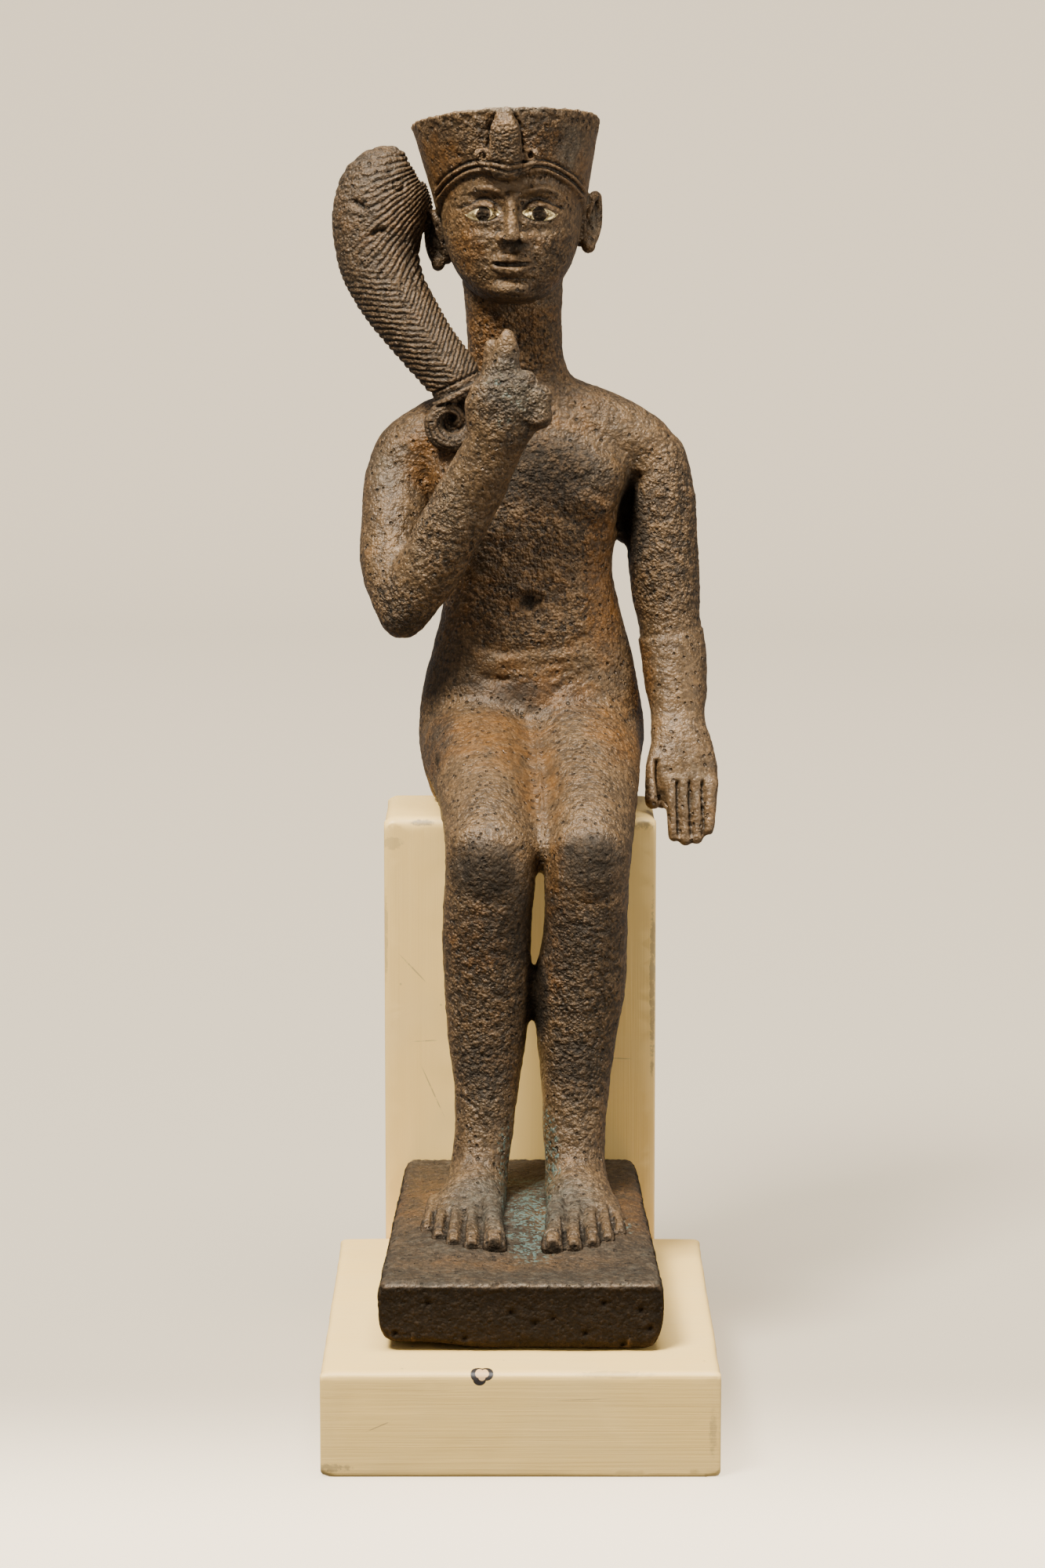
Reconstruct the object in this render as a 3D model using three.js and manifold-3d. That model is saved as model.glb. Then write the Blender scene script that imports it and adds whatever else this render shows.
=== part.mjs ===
// An ancient bronze of a seated child figure with a side lock, on its wooden stand.
// Millimetres, +Z up. The figure faces -Y, and +X is on its left hand's side.
// Y is written from the front face of the base slab, and the group shifts it to the slab's centre.
import * as THREE from 'three';
import { mergeVertices } from 'three/addons/utils/BufferGeometryUtils.js';
import Module from 'manifold-3d';

const wasm = await Module();
wasm.setup();

const gap = 0.3;

// The stand: a slab, and an upright seat block that stands against its back.
const slab = { width: 85.3, depth: 115.2, height: 23, corner: 1.6, topEdge: 1.8 };
const seat = { width: 63.9, depth: 36.8, height: 124, corner: 2.2, topEdge: 2.4 };

// The plate is cast in one with the feet. Its top rises a little to the back.
const plate = {
  front: 16.0, back: 114.6, frontHalfWidth: 31.0, backHalfWidth: 27.2, centreX: 0.1,
  frontTop: 38.2, backTop: 42.6, frontCorner: 1.4, backCorner: 3.2,
};

// Each station is [x, y, z, half width, half depth] at a level of the body.
const torso = [
  [2.7, 142.0, 124.6, 23.6, 14.0], [2.7, 142.0, 133.0, 26.2, 16.4], [2.7, 142.0, 142.0, 27.0, 16.6],
  [2.6, 142.6, 152.0, 25.7, 15.2], [2.8, 142.2, 162.0, 23.4, 13.9], [2.6, 141.8, 171.5, 20.9, 13.0],
  [2.4, 142.2, 182.0, 19.6, 12.8], [2.0, 143.0, 194.0, 22.6, 13.8], [1.8, 143.8, 204.0, 24.8, 13.8],
  [1.5, 145.4, 213.0, 22.6, 11.6], [0.0, 147.0, 222.0, 14.6, 9.8], [-0.9, 147.0, 228.5, 11.7, 10.0],
  [-1.4, 146.4, 237.0, 11.3, 10.6], [-1.8, 145.0, 250.0, 12.0, 12.0],
];

// The shoulders run across, from the figure's right to its left: [x, y, z, half depth, half height].
const shoulders = [
  [-30.0, 146.0, 206.4, 8.4, 7.2], [-25.0, 146.2, 208.2, 9.4, 8.8], [-16.0, 146.6, 211.6, 10.2, 10.0],
  [-7.0, 147.0, 213.4, 10.6, 11.8], [5.0, 147.0, 213.6, 10.6, 12.8], [14.0, 146.8, 213.0, 10.4, 11.4],
  [23.0, 146.4, 211.2, 9.6, 9.3], [30.0, 146.0, 208.8, 8.6, 7.8],
];

const hangingArm = [
  [32.0, 146.0, 207.0, 7.8, 8.4], [33.0, 146.0, 200.5, 8.3, 9.2], [33.7, 146.0, 193.6, 8.6, 9.4],
  [34.1, 145.4, 185.0, 8.5, 9.2], [34.9, 144.4, 175.0, 8.4, 8.8], [36.0, 142.6, 165.0, 7.9, 8.2],
  [36.9, 139.6, 156.6, 7.8, 7.6], [37.4, 136.6, 150.0, 7.3, 6.9], [37.4, 133.6, 144.4, 6.5, 5.9],
];

// The arm and the side meet below the armpit, set back a little.
const armpit = [
  [24.6, 146.4, 187.4, 1.6, 3.4], [24.8, 146.6, 193.0, 2.2, 4.6], [24.6, 146.8, 203.0, 3.2, 6.2],
];
const hangingHand = [
  [37.5, 134.0, 145.4, 6.4, 5.8], [38.0, 130.6, 140.4, 7.2, 5.0], [38.5, 127.6, 135.2, 8.2, 4.3],
  [38.9, 125.0, 130.4, 8.3, 3.4],
];
const fingerRoots = { x: 35.9, step: 3.15, y: 125.0, z: 132.0 };
const fingerTips = { x: 36.3, step: 2.7, y: 120.0, z: [118.7, 117.7, 118.0, 120.2] };
const fingerHalfWidth = 1.83;
const fingerHalfDepth = 2.2;
const hangingThumb = [
  [33.6, 128.6, 139.0, 2.6, 2.6], [31.9, 125.2, 133.6, 2.4, 2.5], [31.3, 121.6, 126.4, 1.9, 2.0],
];

const raisedUpperArm = [
  [-27.6, 146.0, 205.6, 8.2, 8.6], [-29.2, 143.6, 199.0, 8.4, 8.8], [-29.8, 139.0, 190.6, 8.1, 8.7],
  [-29.9, 134.2, 182.0, 7.9, 8.3], [-28.6, 130.0, 175.0, 7.1, 7.6], [-27.8, 127.6, 170.0, 5.8, 6.2],
];
const raisedForearm = [
  [-27.4, 127.4, 171.4, 6.4, 6.8], [-22.2, 124.4, 180.4, 7.6, 7.5], [-14.0, 119.5, 195.3, 7.8, 7.2],
  [-8.4, 115.4, 206.4, 7.3, 6.6], [-5.2, 113.0, 213.4, 7.1, 6.0],
];
const raisedPalm = [
  [-5.4, 113.0, 212.4, 7.0, 5.8], [-4.2, 111.6, 217.2, 8.3, 5.6], [-3.2, 110.6, 221.8, 8.6, 5.2],
  [-4.0, 110.2, 226.0, 6.4, 4.4],
];
const raisedIndex = [
  [-4.4, 110.2, 225.0, 4.8, 3.8], [-3.8, 109.8, 230.0, 3.5, 3.2], [-3.1, 109.3, 234.0, 2.6, 2.7],
  [-2.9, 109.0, 236.8, 1.4, 1.6],
];
const raisedThumb = [
  [-5.6, 112.6, 226.0, 2.6, 2.8], [-6.2, 112.0, 231.0, 2.0, 2.2], [-6.3, 111.4, 234.4, 1.7, 1.8],
];
// The curled fingers of the raised hand run back from one knuckle each, given as [x, z, radius].
const curledFingers = {
  front: 108.0, middle: 110.5, back: 114.4, lean: [2.4, 1.6],
  knuckles: [[0.8, 225.4, 2.9], [3.4, 222.2, 3.0], [4.9, 219.0, 2.7]],
};

// The figure's own right leg is at -X.
const rightThigh = [
  [-8.8, 141.0, 139.6, 15.0, 13.6], [-8.8, 128.0, 137.2, 14.2, 12.0], [-8.1, 115.0, 133.6, 12.6, 10.2],
  [-7.3, 101.0, 127.8, 11.0, 10.0], [-6.9, 88.0, 122.6, 10.4, 10.0],
];
const leftThigh = [
  [14.4, 141.0, 139.6, 15.0, 13.6], [14.6, 128.0, 137.2, 14.0, 12.0], [15.3, 115.0, 133.6, 12.8, 10.2],
  [15.8, 101.0, 127.8, 11.0, 10.0], [16.0, 88.0, 122.6, 9.9, 10.0],
];
const rightShin = [
  [-6.9, 84.6, 123.4, 10.2, 10.2], [-6.5, 84.4, 113.8, 10.8, 10.4], [-7.3, 86.2, 102.0, 10.5, 10.4],
  [-7.1, 87.6, 90.0, 10.4, 10.2], [-7.6, 88.0, 76.0, 8.9, 9.2], [-7.8, 86.0, 65.0, 7.3, 7.9],
  [-8.5, 83.6, 55.0, 6.8, 7.3], [-9.8, 81.0, 45.0, 7.0, 8.6], [-10.2, 80.4, 38.0, 7.4, 10.2],
];
const leftShin = [
  [16.1, 84.6, 122.8, 9.6, 10.2], [15.6, 84.4, 113.8, 9.3, 10.4], [15.3, 86.2, 102.0, 9.2, 10.4],
  [13.7, 87.6, 90.0, 10.7, 10.2], [12.9, 88.0, 76.0, 9.0, 9.2], [12.7, 86.0, 65.0, 7.8, 7.9],
  [12.4, 83.6, 55.0, 7.1, 7.3], [12.8, 81.0, 45.0, 7.2, 8.6], [13.1, 80.4, 38.0, 7.8, 10.2],
];
const webBetweenThighs = [
  [4.0, 130.0, 140.6, 5.0, 6.0], [4.1, 104.0, 129.6, 4.6, 5.6], [4.5, 86.0, 122.0, 3.4, 4.2],
];

// Soft forms on the trunk, as centres and half sizes.
const chest = { x: [-9.2, 12.8], y: 137.3, z: 202.0, size: [12.2, 6.2, 8.8] };
const belly = { x: 2.4, y: 135.4, z: 167.5, size: [13.0, 6.8, 12.5] };
const groin = { x: 2.6, y: 130.2, z: 149.8, size: [5.2, 4.2, 4.6] };
const navel = { x: 2.2, y: 127.6, z: 173.4, size: [1.9, 3.0, 1.6] };

// A foot runs from the heel to the toes. Toes are [x, y of the tip, half width] from the big one out.
const rightFoot = [
  [-9.9, 88.0, 43.0, 6.8, 6.4], [-10.4, 76.0, 43.4, 7.4, 7.4], [-11.8, 66.0, 41.8, 8.2, 5.4],
  [-12.9, 59.5, 41.0, 8.8, 3.8],
];
const leftFoot = [
  [12.9, 88.0, 43.0, 7.0, 6.4], [13.2, 76.0, 43.4, 7.6, 7.4], [14.2, 66.0, 41.8, 8.2, 5.4],
  [14.9, 59.5, 41.0, 8.8, 3.8],
];
const rightToes = [
  [-5.7, 38.9, 2.1], [-10.9, 40.0, 1.75], [-14.8, 42.2, 1.6], [-18.0, 46.4, 1.5], [-20.6, 52.6, 1.35],
];
const leftToes = [
  [7.5, 38.9, 2.1], [12.0, 39.2, 1.75], [15.9, 41.4, 1.6], [19.3, 44.6, 1.5], [22.2, 49.4, 1.35],
];
const toe = { length: 21, rise: 1.7, widening: 1.14, rootDrift: 0.14 };

const head = [
  [-1.7, 139.0, 243.6, 5.6, 9.0], [-1.8, 139.6, 245.0, 8.6, 13.4], [-1.8, 141.2, 248.6, 11.9, 17.2],
  [-1.9, 142.4, 253.6, 14.6, 19.5], [-2.0, 143.0, 259.6, 16.2, 20.6], [-2.1, 143.2, 266.0, 16.7, 21.0],
  [-2.3, 143.4, 272.0, 16.9, 21.3], [-2.5, 143.4, 278.0, 16.6, 21.0],
];
const face = {
  x: -2.0, eyeZ: 264.4, eyeX: 6.5, eyeTurn: 0.42, eyeHalfWidth: 4.2, eyeHalfHeight: 2.2, eyeDepth: 0.9,
  irisRadius: 1.35, irisDepth: 1.4,
};
// The nose in levels, as [height, distance in front of the face, half width, half depth].
const nose = [
  [267.6, -0.2, 1.3, 1.2], [263.0, 0.9, 1.5, 1.9], [259.8, 1.8, 2.1, 2.4], [258.2, 1.2, 2.9, 2.4],
];
const chin = { z: 247.2, inFace: 2.6, size: [4.2, 3.6, 3.0] };
// Ridges on the face, as [width from the middle, height, radius].
const browRidge = [[1.8, 268.2, 0.5], [4.4, 269.5, 0.7], [8.0, 269.6, 0.7], [11.4, 267.8, 0.5]];
const upperLid = [[2.4, 264.0, 0.45], [5.0, 266.5, 0.6], [8.0, 266.6, 0.6], [10.8, 264.4, 0.45]];
const lowerLid = [[2.4, 264.0, 0.4], [5.0, 262.3, 0.5], [8.0, 262.3, 0.5], [10.8, 264.4, 0.4]];
const upperLip = [
  [-4.6, 252.8, 0.4], [-1.6, 254.0, 1.0], [0, 253.7, 0.95], [1.6, 254.0, 1.0], [4.6, 252.8, 0.4],
];
const lowerLip = [[-4.0, 252.4, 0.4], [0, 251.4, 1.15], [4.0, 252.4, 0.4]];
const ridgeSink = { brow: 0.2, lid: 0.2, lip: 0.1 };

// The ears stand out from the sides of the head, the right one lower. Each has a hollow shell.
const ears = [{ side: -1, x: -18.6, z: 258.6 }, { side: 1, x: 15.8, z: 262.0 }];
const ear = {
  y: 147.4, size: [2.9, 4.0, 7.2],
  hollow: { out: 2.2, y: 145.6, up: 1.4, size: [1.8, 2.0, 4.2] },
};

const crown = {
  x: -3.35, y: 143.0, z: 285.2, halfWidth: 22.2, halfDepth: 24.4, riseToFront: 3.6, riseToLeft: 0.9,
  thickness: 0.9, rimScale: 0.97, flare: 0.92, sides: 24,
};
const crownLevels = [0, 0.02, 0.4, 0.96, 1];
const crownBand = { levels: [0.02, 0.13], radius: 0.5, reach: 4 };
// The crown's lower edge, as [turn from the front in degrees, height].
const crownEdge = [
  [0, 272.4], [24, 273.9], [48, 271.0], [74, 266.4], [100, 262.0], [130, 254.0], [180, 250.0],
];

const cobraCoil = { x: -3.4, aside: 5.2, y: 120.2, z: 277.8, radius: 1.75, tube: 0.85 };
const cobraHood = [
  [-2.6, 121.0, 274.6, 2.6, 2.6], [-2.9, 119.6, 277.4, 3.5, 2.4], [-3.3, 118.8, 281.0, 3.8, 2.2],
  [-3.6, 118.0, 284.4, 3.0, 2.2], [-3.7, 117.2, 286.8, 2.2, 2.4],
];

const lock = [
  [-30.6, 143.4, 275.4, 6.6, 6.0], [-32.0, 143.4, 271.3, 9.8, 8.2], [-32.9, 143.2, 266.8, 11.0, 9.2],
  [-33.4, 142.8, 261.6, 11.0, 9.4], [-33.6, 142.0, 256.4, 10.1, 9.0], [-32.8, 141.0, 251.4, 9.4, 8.6],
  [-30.2, 139.6, 245.4, 8.5, 8.0], [-26.2, 138.2, 239.2, 7.7, 7.4], [-22.4, 137.0, 233.8, 6.9, 6.8],
  [-19.0, 136.0, 229.2, 6.3, 6.2], [-16.6, 135.0, 225.4, 5.4, 5.4], [-15.0, 134.2, 222.0, 4.4, 4.8],
];
const lockTie = {
  x: -16.9, y: 135.2, z: 225.2, radius: 5.2, tube: 0.9, bands: 2, shrink: 0.7, shift: [0.7, -0.7, -1.7],
  tilt: [0.45, 0.42],
};
const curl = {
  x: -15.9, y: 133.8, z: 214.8, startRadius: 4.7, endRadius: 3.7, startTube: 2.7, endTube: 1.8, turns: 1.15,
  startTurn: 0.21, forward: 1.2, flatness: 0.86, steps: 14,
};

// The plate's side, from the bottom up, as [height, inset of the sides, inset of the ends].
const plateFoot = [[0, 1.7, 0.3], [1.4, 0.5, 0], [4, -0.1, 0.1], [9, -0.3, 0.6]];
const plateLedge = { drop: 0.7, ends: 0.9 };
const plateRim = { inset: 0.6, ends: 1.5 };
const plateTop = (y) =>
  plate.frontTop + ((y - plate.front) * (plate.backTop - plate.frontTop)) / (plate.back - plate.front);

const bronzeFinish = new THREE.MeshStandardMaterial({ color: 0x5d4632, roughness: 0.6, metalness: 0.75 });
const goldFinish = new THREE.MeshStandardMaterial({ color: 0xc9a24a, roughness: 0.35, metalness: 0.95 });
const paintFinish = new THREE.MeshStandardMaterial({ color: 0xd8cba6, roughness: 0.65, metalness: 0 });

// A closed skin over rings of points. The last ring lies in the direction t, and each ring turns
// from depth to side, where side, depth and t are right-handed.
function skin(rings) {
  const sides = rings[0].length;
  const last = rings.length - 1;
  const drum = new THREE.CylinderGeometry(1, 1, 1, sides, last);
  drum.deleteAttribute('normal');
  drum.deleteAttribute('uv');
  const geometry = mergeVertices(drum, 1e-4);
  const places = geometry.attributes.position;
  const middleOf = (ring) => ring.reduce((sum, p) => sum.add(p), new THREE.Vector3()).divideScalar(sides);
  const middles = rings.map(middleOf);
  for (let i = 0; i < places.count; i += 1) {
    const row = Math.round((0.5 - places.getY(i)) * last);
    const onAxis = Math.hypot(places.getX(i), places.getZ(i)) < 0.5;
    const turn = Math.atan2(places.getX(i), places.getZ(i)) / (2 * Math.PI);
    const place = onAxis ? middles[row] : rings[row][(Math.round(turn * sides) + sides) % sides];
    places.setXYZ(i, place.x, place.y, place.z);
  }
  return geometry;
}

// A superellipse of half sizes a and b on the axes side and depth. A power of 2 is an ellipse.
function ovalRing(centre, side, depth, a, b, sides, power = 2) {
  const reach = (value) => Math.sign(value) * Math.abs(value) ** (2 / power);
  return Array.from({ length: sides }, (_, k) => {
    const angle = (2 * Math.PI * k) / sides;
    return centre.clone()
      .addScaledVector(side, a * reach(Math.sin(angle)))
      .addScaledVector(depth, b * reach(Math.cos(angle)));
  });
}

// A smooth run through the stations, with so many steps between each two.
function smoothed(stations, steps) {
  const at = (i) => stations[Math.min(Math.max(i, 0), stations.length - 1)];
  const run = [];
  for (let i = 0; i < stations.length - 1; i += 1) {
    for (let k = 0; k < steps; k += 1) {
      const t = k / steps;
      run.push(at(i).map((p1, c) => {
        const [p0, p2, p3] = [at(i - 1)[c], at(i + 1)[c], at(i + 2)[c]];
        const square = 2 * p0 - 5 * p1 + 4 * p2 - p3;
        const cube = 3 * p1 - p0 - 3 * p2 + p3;
        return 0.5 * (2 * p1 + (p2 - p0) * t + square * t ** 2 + cube * t ** 3);
      }));
    }
  }
  run.push(stations[stations.length - 1]);
  return run;
}

// A limb of oval section through its stations, with domed ends of the lengths given.
function limb(run, { sides = 12, hint = [1, 0, 0], domes = [0, 0], upright = false, power = 2 } = {}) {
  const centres = run.map(([x, y, z]) => new THREE.Vector3(x, y, z));
  const frames = centres.map((centre, i) => {
    const ahead = upright
      ? new THREE.Vector3(0, 0, Math.sign(centres[centres.length - 1].z - centres[0].z))
      : centres[Math.min(i + 1, centres.length - 1)].clone().sub(centres[Math.max(i - 1, 0)]).normalize();
    const side = new THREE.Vector3(...hint);
    side.addScaledVector(ahead, -side.dot(ahead)).normalize();
    return { centre, ahead, side, depth: ahead.clone().cross(side), a: run[i][3], b: run[i][4] };
  });
  const ring = (f, shift, scale) => {
    const centre = f.centre.clone().addScaledVector(f.ahead, shift);
    return ovalRing(centre, f.side, f.depth, f.a * scale, f.b * scale, sides, power);
  };
  const heights = sides > 8 ? [0.9, 0.55] : [0.75];
  const bulge = (f, length) => heights.map((h) => ring(f, h * length, Math.sqrt(1 - h * h)));
  const dome = (f, length) => (length === 0 ? [] : bulge(f, length));
  const start = dome(frames[0], -domes[0]);
  const end = dome(frames[frames.length - 1], domes[1]).reverse();
  return skin([...start, ...frames.map((f) => ring(f, 0, 1)), ...end]);
}

// An upright block with rounded corners. Each layer gives its height and how far it is drawn in,
// at its sides and, where that differs, at its front and back.
function block({ front, back, frontHalfWidth, backHalfWidth, centreX = 0, frontCorner, backCorner }, layers) {
  const arc = 3;
  const sharpest = 0.2;
  const corners = [
    [1, 1, backHalfWidth, back, backCorner], [1, -1, frontHalfWidth, front, frontCorner],
    [-1, -1, frontHalfWidth, front, frontCorner], [-1, 1, backHalfWidth, back, backCorner],
  ];
  return skin(layers.map(({ z, inset, ends = inset }) => corners.flatMap(([sx, sy, half, y, radius], c) =>
    Array.from({ length: arc + 1 }, (_, k) => {
      const angle = (Math.PI / 2) * (c + k / arc);
      const r = Math.max(radius - inset, sharpest);
      const placeX = centreX + sx * (half - inset - r) + r * Math.sin(angle);
      const placeY = y - sy * (ends + r) + r * Math.cos(angle);
      return new THREE.Vector3(placeX, placeY, typeof z === 'function' ? z(placeY) : z);
    }))));
}

// The rounding of a block's upper edge, as layers.
function roundedTop(height, radius) {
  return [0, 30, 60, 90].map((degrees) => {
    const angle = THREE.MathUtils.degToRad(degrees);
    return { z: height - radius * (1 - Math.sin(angle)), inset: radius * (1 - Math.cos(angle)) };
  });
}

function toSolid(geometry) {
  const plain = new THREE.BufferGeometry();
  plain.setAttribute('position', geometry.attributes.position);
  plain.setIndex(geometry.index);
  const merged = mergeVertices(plain, 1e-5);
  return new wasm.Manifold(new wasm.Mesh({
    numProp: 3,
    vertProperties: new Float32Array(merged.attributes.position.array),
    triVerts: new Uint32Array(merged.index.array),
  }));
}

function toGeometry(solid) {
  const mesh = solid.getMesh();
  const geometry = new THREE.BufferGeometry();
  geometry.setAttribute('position', new THREE.BufferAttribute(new Float32Array(mesh.vertProperties), 3));
  geometry.setIndex(new THREE.BufferAttribute(new Uint32Array(mesh.triVerts), 1));
  geometry.computeVertexNormals();
  return geometry;
}

const join = (geometries) => geometries.map(toSolid).reduce((sum, solid) => sum.add(solid));

const ellipsoid = (x, { y, z, size }, sides = 8, rows = 5) =>
  new THREE.SphereGeometry(1, sides, rows).scale(...size).translate(x, y, z);

// The head's section at a height, as [x, y, z, half width, half depth].
const headAt = (z) => {
  const run = smoothed(head, 8);
  const i = Math.max(run.findIndex((station) => station[2] >= z), 1);
  const t = THREE.MathUtils.clamp((z - run[i - 1][2]) / (run[i][2] - run[i - 1][2]), 0, 1);
  return run[i - 1].map((value, c) => value + (run[i][c] - value) * t);
};

// The depth of the face's surface at a width from its middle and a height.
const faceY = (across, z) => {
  const [, y, , a, b] = headAt(z);
  return y - b * Math.sqrt(Math.max(1 - (across / a) ** 2, 0.02));
};

// A ridge that follows the face.
function faceRidge(points, side, sink) {
  const stations = points.map(([across, z, radius]) =>
    [face.x + side * across, faceY(across, z) + sink, z, radius, radius]);
  return limb(stations, { sides: 4, hint: [0, 1, 0], domes: [0.5, 0.5] });
}

// A place in the face's surface, for what is set into the eye's middle.
const setInEye = (geometry, side) => geometry
  .rotateZ(side * face.eyeTurn)
  .translate(face.x + side * face.eyeX, faceY(face.eyeX, face.eyeZ) + 0.2, face.eyeZ);

// An almond outline for an eye, turned to lie on the face's curve, between two depths.
function eyePrism(side, trim, from, to, hole = 0) {
  const [halfWidth, halfHeight] = [face.eyeHalfWidth - 2 * trim, face.eyeHalfHeight - 0.8 * trim];
  const outline = new THREE.Shape();
  outline.moveTo(-halfWidth, 0);
  outline.quadraticCurveTo(0, 2 * halfHeight, halfWidth, 0);
  outline.quadraticCurveTo(0, -2 * halfHeight, -halfWidth, 0);
  if (hole > 0) outline.holes.push(new THREE.Path().absarc(0, 0, hole, 0, 2 * Math.PI));
  const extrusion = { depth: to - from, bevelEnabled: false, curveSegments: 8 };
  const prism = new THREE.ExtrudeGeometry(outline, extrusion);
  return setInEye(prism.translate(0, 0, -to).rotateX(Math.PI / 2), side);
}

const irisBoss = (side) => setInEye(
  new THREE.CylinderGeometry(face.irisRadius, face.irisRadius, face.irisDepth, 14)
    .translate(0, face.irisDepth / 2 - 0.1, 0),
  side,
);

function makeHead() {
  const skull = limb(head, { sides: 18, upright: true, domes: [0.8, 3], power: 2.15 });
  const noseRun = nose.map(([z, ahead, a, b]) => [face.x, faceY(0, z) - ahead, z, a, b]);
  const ridges = [-1, 1].flatMap((side) => [
    faceRidge(browRidge, side, ridgeSink.brow),
    faceRidge(upperLid, side, ridgeSink.lid),
    faceRidge(lowerLid, side, ridgeSink.lid),
  ]);
  return [
    skull, limb(noseRun, { sides: 10, upright: true, domes: [1, 0.8] }),
    ellipsoid(face.x, { ...chin, y: faceY(0, chin.z) + chin.inFace }), ...ridges,
    faceRidge(upperLip, 1, ridgeSink.lip), faceRidge(lowerLip, 1, ridgeSink.lip),
  ];
}

const makeEar = ({ side, x, z }) => toSolid(ellipsoid(x, { ...ear, z }))
  .subtract(toSolid(ellipsoid(x + side * ear.hollow.out, { ...ear.hollow, z: z + ear.hollow.up })));

// The crown flares from its edge on the head up to its flat rim.
function makeCrown() {
  const edge = smoothed(crownEdge, 6);
  const edgeHeight = (degrees) => {
    const i = Math.max(edge.findIndex(([turn]) => turn >= degrees - 1e-9), 1);
    const [from, to] = [edge[i - 1], edge[i]];
    return from[1] + ((to[1] - from[1]) * (degrees - from[0])) / (to[0] - from[0]);
  };
  const around = (k, level) => {
    const angle = (2 * Math.PI * k) / crown.sides;
    const [sin, cos] = [Math.sin(angle), Math.cos(angle)];
    const lowZ = edgeHeight(Math.abs(180 - (360 * k) / crown.sides));
    const [x, y, , a, b] = headAt(lowZ);
    const rimZ = crown.z - crown.riseToFront * cos + crown.riseToLeft * sin;
    const scale = level === 1 ? crown.rimScale : 1;
    const from = new THREE.Vector3(x + (a + crown.thickness) * sin, y + (b + crown.thickness) * cos, lowZ);
    return new THREE.Vector3(
      from.x + (crown.x + crown.halfWidth * scale * sin - from.x) * level,
      from.y + (crown.y + crown.halfDepth * scale * cos - from.y) * level,
      from.z + (rimZ - from.z) * level ** crown.flare,
    );
  };
  const ringAt = (level) => Array.from({ length: crown.sides }, (_, k) => around(k, level));
  const body = skin(crownLevels.map(ringAt));
  const bands = crownBand.levels.map((level) => {
    const path = Array.from({ length: 2 * crownBand.reach + 1 }, (_, i) =>
      around(crown.sides / 2 - crownBand.reach + i, level));
    return limb(path.map((p) => [p.x, p.y, p.z, crownBand.radius, crownBand.radius]),
      { sides: 4, hint: [0, 0, 1] });
  });
  return [body, ...bands];
}

function makeCobra() {
  const coils = [-1, 1].map((side) => new THREE.TorusGeometry(cobraCoil.radius, cobraCoil.tube, 4, 9)
    .rotateX(Math.PI / 2)
    .translate(cobraCoil.x + side * cobraCoil.aside, cobraCoil.y, cobraCoil.z));
  return [limb(cobraHood, { sides: 8, upright: true, domes: [1.2, 1.4] }), ...coils];
}

// The side lock, tied low down, ends in a spiral curl.
function makeLock() {
  const ties = Array.from({ length: lockTie.bands }, (_, i) =>
    new THREE.TorusGeometry(lockTie.radius - lockTie.shrink * i, lockTie.tube, 4, 10)
      .rotateX(lockTie.tilt[0])
      .rotateY(lockTie.tilt[1])
      .translate(lockTie.x, lockTie.y, lockTie.z)
      .translate(...lockTie.shift.map((value) => value * i)));
  const spiral = Array.from({ length: curl.steps + 1 }, (_, i) => {
    const t = i / curl.steps;
    const angle = 2 * Math.PI * (curl.startTurn - curl.turns * t);
    const radius = curl.startRadius + (curl.endRadius - curl.startRadius) * t;
    const tube = curl.startTube + (curl.endTube - curl.startTube) * t;
    const [x, z] = [curl.x + radius * Math.cos(angle), curl.z + radius * Math.sin(angle)];
    return [x, curl.y - curl.forward * t, z, tube, tube * curl.flatness];
  });
  return [
    limb(lock, { domes: [3.2, 1.5] }), ...ties, limb(spiral, { sides: 6, hint: [0, 1, 0], domes: [1, 1.2] }),
  ];
}

function makeHangingHand() {
  const fingers = fingerTips.z.map((tipZ, i) => {
    const root = [fingerRoots.x + i * fingerRoots.step, fingerRoots.y, fingerRoots.z];
    const tip = [fingerTips.x + i * fingerTips.step, fingerTips.y, tipZ];
    const middle = root.map((value, c) => (value + tip[c]) / 2);
    return limb([
      [...root, fingerHalfWidth, fingerHalfDepth], [...middle, fingerHalfWidth * 0.96, fingerHalfDepth * 0.9],
      [...tip, fingerHalfWidth * 0.88, fingerHalfDepth * 0.72],
    ], { sides: 6, domes: [0, 1.3] });
  });
  return [
    limb(hangingHand, { sides: 10, domes: [1, 1.4], power: 2.4 }), ...fingers,
    limb(hangingThumb, { sides: 6, domes: [0, 1.5] }),
  ];
}

function makeRaisedHand() {
  const [leanX, leanZ] = curledFingers.lean;
  const curled = curledFingers.knuckles.map(([x, z, radius]) => limb([
    [x - leanX, curledFingers.back, z - leanZ, radius * 0.8, radius * 0.8],
    [x - leanX * 0.2, curledFingers.middle, z - leanZ * 0.2, radius, radius],
    [x, curledFingers.front, z, radius, radius],
  ], { sides: 6, domes: [0, 2] }));
  return [
    limb(raisedPalm, { sides: 10, domes: [1, 2.2] }), limb(raisedIndex, { sides: 8, domes: [0, 1.2] }),
    limb(raisedThumb, { sides: 6, domes: [0, 1.2] }), ...curled,
  ];
}

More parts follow.
